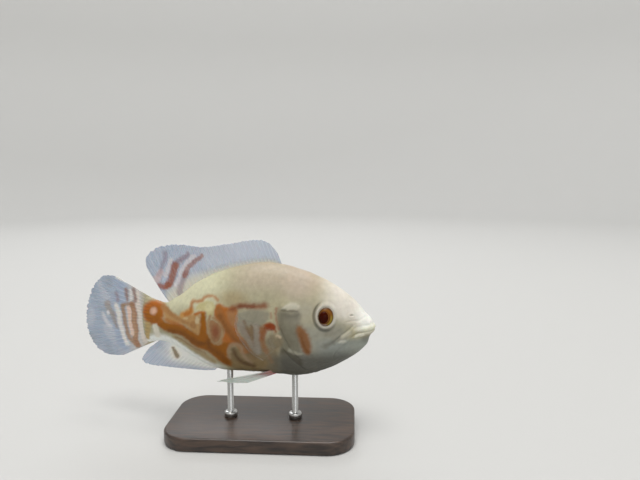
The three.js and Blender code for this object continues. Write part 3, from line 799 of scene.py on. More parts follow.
def places_of(mesh):
    """All vertices of a mesh as an array."""
    places = np.empty(3 * len(mesh.vertices))
    mesh.vertices.foreach_get("co", places)
    return places.reshape(-1, 3)


def move_to(mesh, places):
    """Moves all vertices of a mesh."""
    mesh.vertices.foreach_set("co", np.ascontiguousarray(places, float).ravel())
    mesh.update()


def normals_of(mesh):
    """The normal of every vertex as an array."""
    normals = np.empty(3 * len(mesh.vertices))
    mesh.vertex_normals.foreach_get("vector", normals)
    return normals.reshape(-1, 3)


bm = bmesh.new()
bmesh.ops.create_uvsphere(bm, u_segments=COLUMNS, v_segments=RINGS, radius=1)
skin_mesh = new_mesh("skin", bm)
ball = places_of(skin_mesh)
ring = np.rint(RINGS * (1 - np.arccos(np.clip(ball[:, 2], -1, 1)) / math.pi)).astype(int)
around = np.arctan2(ball[:, 1], ball[:, 0]) / (2 * math.pi) % 1
column = np.rint(COLUMNS * around - 0.5).astype(int) % COLUMNS
skin_back = ring_places()[ring]
plain_skin = skin_point(skin_back, column_angles()[column], -COAT_DEPTH * closing(skin_back))
move_to(skin_mesh, plain_skin)
skin_normals = normals_of(skin_mesh)
print("skin:", len(ball), "vertices on", len(np.unique(ring * COLUMNS + column)), "places")
print("ring spacing on the head:", round(float(ring_places()[80] - ring_places()[79]), 2), "mm")

# %% [markdown]
# ## The head in the skin
# What makes a head real is its relief: thick lips round a tight mouth, the fold of the upper jaw, a
# nostril, a soft ring round the eye and the plates of the gill cover with their free edges. Each is a
# line on the flank and a cross profile, a hump or a groove. They are summed up as one height for every
# vertex, and the skin is pushed out along its normals by that height.

# %% Profiles of the folds
MOUTH = through([(-8, 2.2), (0, 1.7), (5.6, 1.3), (8.7, 1.1), (10.6, 0.3), (12.6, -1.4)])
MOUTH_CORNER = 12.8


def ridge(back, height, half, *knots):
    """A ridge of height 1 along a line, with tapered ends."""
    distance, share, _ = to_line(back, height, drawn(knots))
    return hump(distance / half) * rise(share, 0, 0.12) * rise(share, 1, 0.88)


def plate_edge(back, height, reach, *knots):
    """1 on the free edge of a plate, down to 0 at reach in front of it, and a groove just behind it."""
    distance, share, side = to_line(back, height, drawn(knots), reach + 1)
    signed = distance * side
    plate = rise(signed, -reach, -0.3) * rise(signed, 0.35, 0)
    groove = -0.45 * hump((signed - 0.8) / 0.8)
    return (plate + groove) * rise(share, 0, 0.15) * rise(share, 1, 0.75)


def lips(back, height):
    """Two thick lips and the line of the mouth between them."""
    above = height - MOUTH(back)
    upper = 0.4 * hump((above - 1.4) / 1.6) - 0.08 * hump((above - 3.3) / 0.9)
    lower = lerp(0.15, 0.5, rise(back, 2, 8)) * hump((above + 1.25) / 1.4) - 0.08 * hump((above + 3) / 1)
    crease = -0.42 * np.exp(-((above / 0.3) ** 2))
    return (upper + lower + crease) * rise(back, MOUTH_CORNER, MOUTH_CORNER - 2)


def jaws(back, height):
    """The fold of the upper jaw, the edge of the lower jaw and the groove of the cheek."""
    fold = 0.35 * ridge(back, height, 1.4, (10.4, 3.8), (12.8, 1.8), (15.2, -0.2), (18, -2.8), (20.6, -5.2))
    behind = -0.28 * ridge(
        back, height, 0.9, (9.8, 6.2), (12.6, 3.5), (15, 1.7), (17.4, -0.2), (19.4, -2), (22, -4), (25, -5.8),
    )
    corner = -0.22 * ridge(back, height, 0.8, (11.6, -1), (13, -2.8), (15.6, -5), (19.4, -8.4), (21.6, -13))
    chin = 0.25 * ridge(back, height, 1.6, (13, -3.4), (16.4, -3.2), (19, -4.4), (22, -7))
    snout = -0.16 * ridge(back, height, 0.9, (4, 9.4), (8, 7.2), (11.4, 7.4), (15.6, 6.4))
    recess = -1.1 * rise(back, 9.5, 2) * hump((height - MOUTH(back) + 4.3) / 4.1)
    return fold + behind + corner + chin + snout + recess


def gill_plates(back, height):
    """The cheek's rear edge, the bony gill cover and the soft rim behind it."""
    cheek = 0.16 * plate_edge(
        back, height, 6, (14, -13.4), (21, -15.2), (27.5, -13.4), (32.2, -9), (35.6, -2), (36.4, 6), (36, 14),
    )
    bone = 0.42 * plate_edge(
        back, height, 8, (33.5, -13.6), (37.4, -11.4), (41.2, -6.6), (43.6, -2.2), (45.8, 2.6), (47.2, 7.4),
        (47.2, 12), (45.6, 16.4), (43, 19.4),
    )
    rim = 0.36 * plate_edge(
        back, height, 5, (27, -22.6), (31, -20.8), (35.6, -17.4), (39.8, -13.1), (43.6, -8.8), (46, -4.4),
        (48, 1), (49.4, 6), (49.8, 11), (48.6, 16), (45.4, 20.4),
    )
    brow = 0.22 * ridge(back, height, 1.9, (46.6, 14), (43.6, 15.4), (40.6, 15.9), (37.2, 15.2))
    return cheek + bone + rim + brow


print("the corner of the mouth lies", MOUTH_CORNER, "mm back")

# %% Pores and throat
PORE = 0.42
PORE_DEPTH = 0.2
THROAT_FOLD = 1.7
PORE_LINES = [
    [(15.5, 6.5), (18.2, 2.4), (22.5, 0.2), (27.5, 0.2), (31.5, 2.4)],
    [(3.4, -4.6), (7.2, -7.4), (11.8, -9.6), (17, -11.6)],
    [(25.5, -12), (30.2, -7.6), (32.4, -2), (33, 4), (31.8, 10)],
]


def pores(back, height):
    """The small sense pores that run under the eye, along the jaw and down the cheek."""
    depth = np.zeros(back.shape)
    for line in PORE_LINES:
        for x, y in line:
            depth = np.maximum(depth, hump(np.hypot(back - x, height - y) / PORE))
    return depth


def throat(back, height):
    """The fine folds of the gill membrane under the throat."""
    distance, _, side = to_line(back, height, drawn([(14, -15.5), (22, -19.5), (31, -22.5)]), 9)
    folds = np.sin(distance * side * 2 * math.pi / THROAT_FOLD)
    return 0.1 * folds * rise(back, 10, 16) * rise(back, 36, 28) * rise(height, -11, -15)


print("pores on a side:", sum(len(line) for line in PORE_LINES))

# %% Roots of the fins
DORSAL_FRONT = 47.5
DORSAL_REAR = 107
ANAL_FRONT = 80
ANAL_REAR = 112
DORSAL_SHEATH = 0.45
ANAL_SHEATH = 0.4
TAIL_RAY_PITCH = 1.9


def fin_roots(back, right, height):
    """The sheath along the dorsal and anal fins, and the pads of the paired fins."""
    top, bottom, middle, _ = section(back)
    crest = np.exp(-((right / 1.5) ** 2))
    dorsal = DORSAL_SHEATH * crest * (height > middle) * rise(back, DORSAL_FRONT, DORSAL_FRONT + 8)
    dorsal *= rise(back, DORSAL_REAR + 3, DORSAL_REAR - 3)
    anal = ANAL_SHEATH * crest * (height < middle) * rise(back, ANAL_FRONT - 2, ANAL_FRONT + 4)
    anal *= rise(back, ANAL_REAR + 2, ANAL_REAR - 3)
    pad = 0.75 * hump(np.hypot((back - 49.2) / 3.6, (height + 0.8) / 5.4) * 0.9)
    pelvic = 0.5 * hump(np.hypot((back - 49) / 5, (height + 20) / 3)) * (np.abs(right) > 1.5)
    rays = 0.1 * np.sin((height - 2) * 2 * math.pi / TAIL_RAY_PITCH) * rise(back, 114, 121)
    return dorsal + anal + pad + pelvic + rays


print("roots:", DORSAL_REAR - DORSAL_FRONT, "mm on the back and", ANAL_REAR - ANAL_FRONT, "mm below")

# %% Eyes and nostrils
HEAD_END = 45
EYE_AT = (24.6, 9.7)
EYE_TILT = (-0.16, 1, 0.1)
EYE_NARROW = 0.84
EYE_RADIUS = 5.9
EYE_HALF = 4.6
EYE_SUNK = 3.15
EYE_EDGE = (4, 4.4)
BOWL_DEEPER = 0.7
RING_UP = 0.35
RING_CREST = 5.4
RING_HEIGHT = (0.5, 0.7)
RING_SLOPE = (2.4, 1.25)
RING_GROOVE = 6.95
GROOVE_DEPTH = 0.6
GROOVE_HALF = 1.1
REAR_BELOW = math.radians(215)
NOSTRIL_AT = (11.8, 10)
NOSTRIL_SHAPE = (0.75, 1, 1.25)


def on_flank(place, side):
    """The point of the plain skin at a place (back, height) on a side."""
    back, height = np.array(place, float)
    return np.array([back, side * float(side_at(back, height)), height])


def eye_frame(side):
    """The middle of an eye's rim on the skin, and its axis."""
    axis = np.array([EYE_TILT[0], side * EYE_TILT[1], EYE_TILT[2]])
    return on_flank(EYE_AT, side), axis / np.linalg.norm(axis)


def from_eye(points, side):
    """How far points lie from an eye's axis, how high over its rim, and the turn, 0 ahead and + upwards."""
    rim, axis = eye_frame(side)
    away = points - rim
    high = away @ axis
    flat = away - high[:, None] * axis
    ahead = -flat[:, 0] / EYE_NARROW
    return np.hypot(ahead, flat[:, 2]), high, np.arctan2(flat[:, 2], ahead)


def ring_place(out, turn):
    """How far out on the skin's ring a point lies, and how deep the ring's groove is in that direction."""
    ring_out = np.hypot(out * np.cos(turn), out * np.sin(turn) - RING_UP)
    return ring_out, 0.1 + 0.9 * rise(np.cos(turn - REAR_BELOW), -0.5, 0.5)


def set_eyes(points):
    """Raises the ring of skin round each eye and sinks a bowl for the eyeball."""
    moved = points.copy()
    for side in (1, -1):
        here = (points[:, 1] * side > 0) & (points[:, 0] < HEAD_END)
        out, high, turn = from_eye(points[here], side)
        ring_out, deep = ring_place(out, turn)
        slope = np.where(ring_out > RING_CREST, lerp(*RING_SLOPE, deep), RING_SLOPE[1])
        ring_up = lerp(*RING_HEIGHT, deep) * hump((ring_out - RING_CREST) / slope)
        ring_up = ring_up - GROOVE_DEPTH * deep * hump((ring_out - RING_GROOVE) / GROOVE_HALF)
        bowl = EYE_HALF * np.sqrt(np.clip(1 - (out / EYE_RADIUS) ** 2, 0, 1)) - EYE_SUNK - BOWL_DEEPER
        inner = rise(out, EYE_EDGE[1], EYE_EDGE[0])
        target = (1 - inner) * (high + ring_up) + inner * bowl
        moved[here] += (target - high)[:, None] * eye_frame(side)[1]
    return moved


def nostrils(points):
    """A raised rim round a pit on each side of the snout."""
    lift = np.zeros(len(points))
    for side in (1, -1):
        out = np.linalg.norm((points - on_flank(NOSTRIL_AT, side)) * NOSTRIL_SHAPE, axis=1)
        lift += 0.1 * hump((out - 1.2) / 0.8) - 0.42 * rise(out, 1, 0.2)
    return lift


print("right eye's rim, back, right and up:", eye_frame(1)[0].round(1), "mm")

# %% Push the skin out
def relief(points):
    """The height of every fold of the skin, in millimetres."""
    back, right, height = points.T
    head = lips(back, height) + jaws(back, height) + gill_plates(back, height)
    head = head - PORE_DEPTH * pores(back, height)
    uneven = 0.09 * wobble(points, 9, seed=40) * rise(back, 2, 8) + 0.03 * wobble(points, 2.2, seed=41)
    return head + throat(back, height) + fin_roots(back, right, height) + nostrils(points) + uneven


skin_relief = relief(plain_skin)
skin_points = set_eyes(plain_skin + skin_relief[:, None] * skin_normals)
print("relief from", round(skin_relief.min(), 2), "to", round(skin_relief.max(), 2), "mm")

# %% [markdown]
# ## Wet skin
# Fish skin is a clear layer of slime over colour that sits a little deeper. So the shader has a smooth
# coat over a softer base, a little light that scatters inside, and a fine grain in its surface. The
# colour comes from the vertices, and a slow noise makes it less even. The scales use the same recipe
# with more gloss.

# %% Skin and scale finishes
def marking_of(nodes):
    """The colour, and the cover, that are stored in the vertices."""
    marking = nodes.new("ShaderNodeVertexColor")
    marking.layer_name = "marking"
    return marking.outputs


def bumped(nodes, links, shader, height, distance, strength):
    """Raises a shader's surface by a height texture."""
    bump = nodes.new("ShaderNodeBump")
    bump.inputs["Strength"].default_value = strength
    bump.inputs["Distance"].default_value = distance
    links.new(height, bump.inputs["Height"])
    links.new(bump.outputs["Normal"], shader.inputs["Normal"])


def fish_skin(name, roughness, coat, grain):
    """Skin coloured by its vertices, under a wet coat."""
    material, nodes, links, shader = start_material(name)
    uneven = nodes.new("ShaderNodeMix")
    uneven.data_type = "RGBA"
    uneven.blend_type = "MULTIPLY"
    uneven.inputs["Factor"].default_value = 1
    tone = spread(nodes, links, noise(nodes, links, 420, 5), 0.9, 1.04)
    links.new(marking_of(nodes)["Color"], uneven.inputs[6])
    links.new(tone, uneven.inputs[7])
    links.new(uneven.outputs[2], shader.inputs["Base Color"])
    gloss = spread(nodes, links, noise(nodes, links, 1500), roughness - 0.06, roughness + 0.08)
    links.new(gloss, shader.inputs["Roughness"])
    shader.inputs["Subsurface Weight"].default_value = 0.08
    shader.inputs["Subsurface Radius"].default_value = (1, 0.45, 0.25)
    shader.inputs["Subsurface Scale"].default_value = 0.0012
    shader.inputs["Specular IOR Level"].default_value = 0.18
    shader.inputs["Coat Weight"].default_value = coat
    shader.inputs["Coat Roughness"].default_value = 0.16
    bumped(nodes, links, shader, noise(nodes, links, 2600, 4), distance=0.00012, strength=grain)
    return material


skin_finish = fish_skin("wet_skin", roughness=0.48, coat=0.08, grain=0.5)
scale_finish = fish_skin("scales", roughness=0.44, coat=0.1, grain=0.3)
print("skin finish:", len(skin_finish.node_tree.nodes), "nodes")

# %% Colour the skin and bend it
# painted shade: the skin is darker where it sinks into a crease
CREASE_SHADE = 0.28
RING_COLOUR = "#c2bdb2"
RING_PALE = 0.8
# painted shadow in the groove round each eye, deepest at the rear and below, and painted shade in the bowl
# under the eyeball's rim
GROOVE_SHADOW = 0.5
RIM_SHADE = 0.75


def store_colour(mesh, colour, cover=1.0):
    """Keeps a colour, and how much it covers, in every vertex of a mesh."""
    rgba = np.empty((len(colour), 4))
    rgba[:, :3] = colour
    rgba[:, 3] = np.clip(cover, 0, 1)
    layer = mesh.color_attributes.new("marking", "FLOAT_COLOR", "POINT")
    layer.data.foreach_set("color", rgba.ravel())


def lay_on_fish(piece, straight, colour, slot, *nodes, cover=1.0):
    """Colours a piece made on the straight fish, lays it along the bend and dresses it."""
    store_colour(piece.data, colour, cover)
    move_to(piece.data, bend(straight))
    dress(piece, slot, *nodes)


# painted shade: the skin is darker in its creases and hollows
skin_colour = painted(plain_skin) * (1 - CREASE_SHADE * rise(-skin_relief, 0.05, 0.7))[:, None]
for side in (1, -1):
    out, _, turn = from_eye(plain_skin, side)
    out = np.where(plain_skin[:, 1] * side > 0, out, FAR)
    ring_out, deep = ring_place(out, turn)
    tint(skin_colour, RING_COLOUR, RING_PALE * hump((ring_out - RING_CREST) / 1.6))
    # painted shadow in the groove at the rear and below each eye
    skin_colour *= 1 - (GROOVE_SHADOW * deep * hump((ring_out - RING_GROOVE) / 1.4))[:, None]
    # painted shade where the skin dips under the eyeball
    skin_colour *= 1 - (RIM_SHADE * rise(out, EYE_EDGE[1] + 0.1, EYE_EDGE[0]))[:, None]
skin = add_object(skin_mesh, skin_finish)
lay_on_fish(
    skin, skin_points, skin_colour, "head_skin",
    "head", "lower_jaw", "gill_cover_right", "gill_cover_left", "torso", "tail_stalk",
)

# %% [markdown]
# ## Eyes
# An oscar's eye is a flattened ball with a wide pupil, whose lens stands a little proud. The iris is a
# fan of fine fibres, rust orange on top, olive gold at the lower front and pale at the lower rear. A ball
# in two pieces keeps the lens separate, as in the solids. The colour is worked out for every vertex
# from its distance to the axis of the eye.

# %% Eyeballs
PUPIL_RADIUS = 3
PUPIL_HALF = 1.5
PUPIL_OUT = 3.7
PUPIL_BEHIND = 0.85
PUPIL_BELOW = 0.05
SIDES = {"right": 1, "left": -1}


def eye_ball(side, radius, half, out, aside, segments):
    """A flattened ball on the axis of an eye, in straight coordinates."""
    rim, axis = eye_frame(side)
    turn = Vector((0, 0, 1)).rotation_difference(Vector(axis)).to_matrix().to_4x4()
    middle = Vector(rim + out * axis + aside)
    bm = bmesh.new()
    bmesh.ops.create_uvsphere(bm, u_segments=segments, v_segments=segments // 2, radius=1)
    bmesh.ops.scale(bm, vec=(radius * EYE_NARROW, radius, half), verts=bm.verts)
    bmesh.ops.transform(bm, matrix=Matrix.Translation(middle) @ turn, verts=bm.verts)
    return bm


def eye_finish(name, roughness, gloss, coat):
    """A wet, very smooth finish coloured by the vertices."""
    material, nodes, links, shader = start_material(name)
    links.new(marking_of(nodes)["Color"], shader.inputs["Base Color"])
    grain = spread(nodes, links, noise(nodes, links, 3000), roughness, roughness + 0.08)
    links.new(grain, shader.inputs["Roughness"])
    shader.inputs["Specular IOR Level"].default_value = gloss
    shader.inputs["Coat Weight"].default_value = coat
    shader.inputs["Coat Roughness"].default_value = 0.03
    return material


iris_finish = eye_finish("iris", roughness=0.35, gloss=0.1, coat=0.14)
pupil_finish = eye_finish("pupil", roughness=0.1, gloss=0, coat=0.12)
print("iris finish:", len(iris_finish.node_tree.nodes), "nodes")

# %% Colour of the eyes
RUST = "#653c0b"
FIBRE = "#95601c"
OLIVE_GOLD = "#94802c"
PALE_PINK = "#b3a6a8"
INNER_RIM = "#3c1a08"
OUTER_RIM = "#4d3626"
LENS_RED = "#350c02"
GOLD_BELOW = math.radians(-38)
PALE_BEHIND = math.radians(222)


def iris_colour(points, side):
    """Fibres round the pupil, olive gold at the lower front, pale at the lower rear, and a dark rim."""
    out, _, turn = from_eye(points, side)
    ahead = out * np.cos(turn) + PUPIL_BEHIND / EYE_NARROW
    off = np.hypot(ahead, out * np.sin(turn) + PUPIL_BELOW) / PUPIL_RADIUS
    fibres = 0.5 + 0.3 * np.sin(turn * 46 + 2 * np.sin(turn * 5)) + 0.2 * np.sin(turn * 83 + out)
    gold = rise(np.cos(turn - GOLD_BELOW), 0.45, 0.95) * rise(off, 1.05, 1.35)
    pale = rise(np.cos(turn - PALE_BEHIND), 0.35, 0.85) * rise(off, 1.08, 1.2)
    colour = np.tile(linear(RUST), (len(points), 1))
    tint(colour, FIBRE, 0.6 * fibres)
    tint(colour, OLIVE_GOLD, 0.85 * gold)
    tint(colour, PALE_PINK, 0.55 * pale)
    tint(colour, INNER_RIM, 0.7 * hump((off - 1.05) / 0.12))
    tint(colour, OUTER_RIM, 0.7 * rise(out, 3.75, 4.2))
    return colour


for word, side in SIDES.items():
    bm = eye_ball(side, EYE_RADIUS, EYE_HALF, -EYE_SUNK, np.zeros(3), segments=160)
    eye = add_object(new_mesh(f"eyeball_{word}", bm), iris_finish)
    straight = places_of(eye.data)
    lay_on_fish(eye, straight, iris_colour(straight, side), "iris", f"eye_{word}")
    aside = np.array([PUPIL_BEHIND, 0, -PUPIL_BELOW])
    bm = eye_ball(side, PUPIL_RADIUS, PUPIL_HALF, PUPIL_OUT - EYE_SUNK, aside, segments=64)
    lens = add_object(new_mesh(f"lens_{word}", bm), pupil_finish)
    straight = places_of(lens.data)
    red = np.tile(linear(LENS_RED), (len(straight), 1))
    lay_on_fish(lens, straight, red, "pupil", f"pupil_{word}")

# %% [markdown]
# ## Fins
# A fin is a web a few tenths of a millimetre thick, stretched between rays. Spines are stiff and single,
# and soft rays split into branches towards the edge. The web starts as a flat square grid with a wall
# thickness. Its vertices are then laid between the line of the root and the line of the margin, and
# pushed out along each ray. The web is clear where it is thin, so colour and cover are both stored.

# %% Shape of a fin
def on_plane(back, height):
    """Points on the middle plane of the fish."""
    return np.stack([back, 0 * back, height], axis=-1)


def plane_line(*knots):
    """A smooth line on the middle plane through knots of (share, back, height)."""
    backs = through([(share, back) for share, back, _ in knots])
    heights = through([(share, height) for share, _, height in knots])
    return lambda a: on_plane(backs(a), heights(a))


RAY_HALF = (0.22, 0.1)
BRANCH_OUT = (0.2, 0.09)
SPINE_NOTCH = 0.03
FRAY = 0.003


class Fin:
    """A web from a root line to a margin, with rays; bow bends it and spiny is the share with spines."""

    def __init__(self, rays, root, margin, bow=None, spiny=0.0, thick=0.9, notch=0.009):
        self.rays, self.root, self.margin, self.bow = rays, root, margin, bow
        self.spiny, self.thick, self.notch = spiny, thick, notch

    def middle(self, a, b):
        """Points of the middle of the web, a along the root and b out to the margin."""
        points = lerp(self.root(a), self.margin(a), b[:, None])
        return points if self.bow is None else points + self.bow(a, b)

    def normal(self, a, b, step=0.01):
        """The direction square to the web."""
        across = self.middle(np.minimum(a + step, 1), b) - self.middle(np.maximum(a - step, 0), b)
        out = self.middle(a, np.minimum(b + step, 1)) - self.middle(a, np.maximum(b - step, 0))
        square = np.cross(across, out)
        return square / np.linalg.norm(square, axis=1)[:, None]

    def ray_height(self, a, b):
        """1 on the crest of a ray or branch and 0 on the web."""
        off = np.abs((a * self.rays) % 1 - 0.5)
        soft = rise(a, self.spiny - 0.01, self.spiny + 0.01)
        first = BRANCH_OUT[0] * rise(b, 0.3, 0.9) * soft
        second = BRANCH_OUT[1] * rise(b, 0.62, 1) * soft
        off = np.abs(np.abs(off - first) - second)
        return hump(off / lerp(*RAY_HALF, b * soft))

    def edge(self, a):
        """How far out the web reaches: cut back between spines, and lightly frayed between soft rays."""
        off = (a * self.rays) % 1 - 0.5
        deep = np.where(a < self.spiny, SPINE_NOTCH, self.notch)
        between = rise(np.abs(off), 0.05, 0.5)
        frayed = FRAY * np.sin(a * self.rays * 2 * math.pi * 4) * (a >= self.spiny)
        uneven = 0.012 * np.sin(a * 61) + 0.01 * np.sin(a * 143 + 1)
        return 1 - deep * between - np.abs(frayed) - np.abs(uneven)

# %% From a flat slab to a web
WEB_AT_ROOT = 0.45
WEB_AT_EDGE = 0.14
RAY_AT_EDGE = 0.22


def slab(columns, rows):
    """A flat closed slab, 1 by 1, whose grid can be laid out in any shape."""
    bm = bmesh.new()
    bmesh.ops.create_grid(bm, x_segments=columns, y_segments=rows, size=0.5)
    bmesh.ops.solidify(bm, geom=bm.verts[:] + bm.edges[:] + bm.faces[:], thickness=0.1)
    bmesh.ops.recalc_face_normals(bm, faces=bm.faces)
    return bm


def build_fin(name, fin, per_ray, rows):
    """A fin on the straight fish, with where each vertex lies along and out, and how much of a ray it is."""
    web = add_object(new_mesh(name, slab(fin.rays * per_ray, rows)), fin_finish)
    flat = places_of(web.data)
    a = np.clip(flat[:, 0] + 0.5, 0, 1)
    out = np.clip(flat[:, 1] + 0.5, 0, 1)
    b = out * fin.edge(a)
    face = np.where(flat[:, 2] > flat[:, 2].mean(), 1, -1)
    ray = fin.ray_height(a, out)
    web_half = lerp(WEB_AT_ROOT, WEB_AT_EDGE, b**0.7) / 2
    ray_half = lerp(fin.thick, RAY_AT_EDGE, b**0.6) / 2
    half = lerp(web_half, np.maximum(ray_half, web_half), ray)
    straight = fin.middle(a, b) + (face * half)[:, None] * fin.normal(a, b)
    layer = web.data.uv_layers.new(name="along_rays")
    corner = np.empty(len(web.data.loops), int)
    web.data.loops.foreach_get("vertex_index", corner)
    layer.data.foreach_set("uv", np.stack([a, b], axis=-1)[corner].ravel())
    return web, straight, a, b, ray


print("web:", WEB_AT_ROOT, "mm thick at the root and", WEB_AT_EDGE, "mm at the margin")

# %% Finish of the fins
def clear_fin(name, joints):
    """A milky web, clear where it is thin, with fine joints across its soft rays."""
    material, nodes, links, shader = start_material(name)
    marking = marking_of(nodes)
    links.new(marking["Color"], shader.inputs["Base Color"])
    links.new(marking["Alpha"], shader.inputs["Alpha"])
    links.new(spread(nodes, links, noise(nodes, links, 2400), 0.3, 0.48), shader.inputs["Roughness"])
    own_map = nodes.new("ShaderNodeUVMap")
    own_map.uv_map = "along_rays"
    bands = nodes.new("ShaderNodeTexWave")
    bands.bands_direction = "Y"
    bands.inputs["Scale"].default_value = joints
    bands.inputs["Distortion"].default_value = 0.6
    links.new(own_map.outputs["UV"], bands.inputs["Vector"])
    bumped(nodes, links, shader, bands.outputs["Fac"], distance=0.00006, strength=0.25)
    shader.inputs["Subsurface Weight"].default_value = 0.1
    shader.inputs["Subsurface Scale"].default_value = 0.001
    shader.inputs["Coat Weight"].default_value = 0.12
    shader.inputs["Coat Roughness"].default_value = 0.25
    return material


fin_finish = clear_fin("fin_web", joints=5)
WEB_WHITE = "#a0b1c8"
RAY_WHITE = "#e2e1e0"
STRIPE = "#995232"
MAUVE = "#8b7480"
PALE_STREAK = "#ddd9dc"


def web_paint(straight, ray, seed):
    """Paint for a fin, with whiter rays on a milky web."""
    paint = Paint(straight[:, 0], straight[:, 2], WEB_WHITE, 0.4, seed)
    paint.lay(RAY_WHITE, 0.18 * ray)
    return paint


print("fin finish:", len(fin_finish.node_tree.nodes), "nodes")

# %% Dorsal fin
ROOT_SINK = 2.5


def dorsal_root(a):
    """The line of the back where the fin grows, a little below the skin."""
    back = lerp(DORSAL_FRONT, DORSAL_REAR, a)
    return on_plane(back - 0.4 * ROOT_SINK, back_line(back) - ROOT_SINK)


def sideways(amount):
    """A move towards the fish's right by an amount for each point."""
    return np.stack([0 * amount, amount, 0 * amount], axis=-1)


dorsal = Fin(
    rays=33,
    root=dorsal_root,
    margin=plane_line(
        (0, 49.5, 40), (0.06, 54.5, 45.4), (0.16, 61.5, 46.6), (0.36, 74, 44.6), (0.58, 88.5, 42.6),
        (0.72, 99.5, 43.4), (0.84, 110, 42.6), (0.92, 119, 39), (0.97, 122.5, 32), (1, 117, 22.5),
    ),
    bow=lambda a, b: sideways(-(0.7 * np.sin(9 * a) + 2.2 * a**6) * b * b),
    spiny=0.394,
)
web, straight, a, b, ray = build_fin("dorsal_web", dorsal, per_ray=12, rows=52)
paint = web_paint(straight, ray, seed=50)
paint.lay("#c3ccda", 0.6 * rise(straight[:, 0], 108, 96))
paint.lay("#d8d4c0", 0.85 * rise(b, 0.42, 0.15))
paint.stroke("#dcc5c4", 1.8, (116.4, 23.5), (114, 25.4), (112.6, 28.4), soft=1, strength=0.8)
paint.stroke(
    PALE_STREAK, 1.3, (103.7, 22), (101.3, 26.2), (99.5, 30), (97.1, 33.8), (93.2, 37), strength=0.8,
)
paint.stroke(PALE_STREAK, 1.2, (109.8, 26.4), (107.9, 30.7), (106.1, 35), soft=0.8, strength=0.8)
paint.stroke(
    MAUVE, (1.9, 1.2), (104.6, 31.5), (102.6, 34), (99.8, 36.2), (96.4, 38.4), soft=1, strength=0.75,
)
paint.stroke("#a05238", (1.5, 1.7), (113.4, 21.4), (110.6, 20.6), (108.2, 21.4), soft=0.9, strength=0.9)
paint.stroke(
    STRIPE, (1.9, 2.2), (108.4, 21.4), (106.8, 24.2), (105.3, 28), (103.9, 31.4), soft=0.9,
    strength=0.9,
)
paint.stroke(
    MAUVE, (1.8, 1.4), (101.6, 18.4), (101, 21.6), (99.4, 25), (97.9, 28.5), soft=1.1, strength=0.6,
)
paint.stroke(
    STRIPE, (1.3, 1.1), (98.6, 27), (97, 31.2), (94.4, 33.2), (91.6, 35.2), (88.8, 37.8), strength=0.7,
)
paint.stroke(
    MAUVE, (1.1, 1.6), (113.6, 26.8), (112.6, 29.5), (111.3, 32.7), (109.8, 35.9), (109.7, 38),
    soft=1.2, strength=0.5,
)
marked = np.clip(np.abs(paint.colour - linear(WEB_WHITE)).sum(axis=1) * 3, 0, 1)
cover = 0.5 + 0.16 * ray + 0.6 * rise(b, 0.45, 0.1) + 0.2 * marked * rise(straight[:, 0], 86, 92)
lay_on_fish(web, straight, paint.colour, "fin", "dorsal_fin", cover=cover)

# %% Anal fin
def anal_root(a):
    """The line of the belly where the fin grows, a little above the skin."""
    back = lerp(ANAL_FRONT, ANAL_REAR, a)
    return on_plane(back - 0.4 * ROOT_SINK, belly_line(back) + ROOT_SINK)


anal = Fin(
    rays=19,
    root=anal_root,
    margin=plane_line(
        (0, 83.5, -22.8), (0.12, 89.5, -23.4), (0.4, 102, -23.4), (0.65, 113, -22.9),
        (0.84, 121.5, -22.2), (0.93, 125, -19.6), (1, 120.5, -13.2),
    ),
    bow=lambda a, b: sideways(-0.8 * np.sin(5 * a) * b * b),
    spiny=0.158,
)
web, straight, a, b, ray = build_fin("anal_web", anal, per_ray=12, rows=44)
paint = web_paint(straight, ray, seed=60)
white = rise(straight[:, 0], 119, 104) * rise(b, 1, 0.5)
paint.lay(WARM_WHITE, 0.92 * white)
paint.spot("#f2efdf", (105.4, -14.4), (3, 3.6), soft=0.5, strength=0.7)
paint.stroke(
    "#84704e", (1, 1.3), (106.4, -12.6), (105.6, -14.4), (104.6, -16.4), soft=0.7, strength=0.9,
)
cover = 0.52 + 0.14 * ray + 0.5 * rise(b, 0.5, 0.1) + 0.35 * white
lay_on_fish(web, straight, paint.colour, "fin", "anal_fin", cover=cover)

# %% Tail fin
caudal = Fin(
    rays=18,
    root=plane_line((0, 111, 11), (0.12, 117.5, 11.2), (0.5, 120, 2.4), (0.88, 117.5, -7), (1, 112, -7)),
    margin=plane_line(
        (0, 140, 24.6), (0.08, 149, 24.4), (0.2, 156.5, 18.6), (0.36, 160.2, 9.6), (0.54, 161, -0.5),
        (0.72, 159.6, -10), (0.86, 155.6, -17), (0.94, 149, -20.2), (1, 139, -19.8),
    ),
    bow=lambda a, b: sideways(-1.4 * np.sin(7 * a + 0.6) * b**3),
)
web, straight, a, b, ray = build_fin("caudal_web", caudal, per_ray=15, rows=84)
paint = web_paint(straight, ray, seed=70)
out_back = straight[:, 0]
paint.lay("#8fa2b8", 0.75 * rise(out_back, 138, 148))
cloud = wobble(straight[:, ::2], 9, seed=71)
paint.lay("#c3c8d2", 0.45 * rise(cloud, 0.1, 0.9))
paint.lay("#80919f", 0.4 * rise(cloud, -0.2, -0.9) * rise(out_back, 136, 144))
paint.lay("#c9c6be", 0.8 * rise(out_back, 137, 128))
paint.lay(CREAM, rise(out_back, 126, 121))
paint.stroke(
    "#dad2c8", 1.3, (126.4, 16.5), (126.5, 11.5), (126.2, 7), (125.5, 1.6), (124.6, -3.8),
    (122.6, -9.7), soft=0.8, strength=0.9,
)
paint.stroke(
    "#9a6c45", (2, 1.8), (129.9, 9.5), (129.4, 5.8), (129, 1.4), (129, -4.1), (129, -8.6),
    (127.8, -12.5), soft=0.9, strength=0.9,
)
paint.stroke("#b3906f", 0.8, (129.8, 7.6), (129.2, 1.4), (129.1, -8), soft=0.8, strength=0.7)
paint.stroke("#dcc3b2", 1.1, (132.6, 8), (132.2, 3.3), (131.5, -1.6), (130.8, -6.6), soft=0.6)
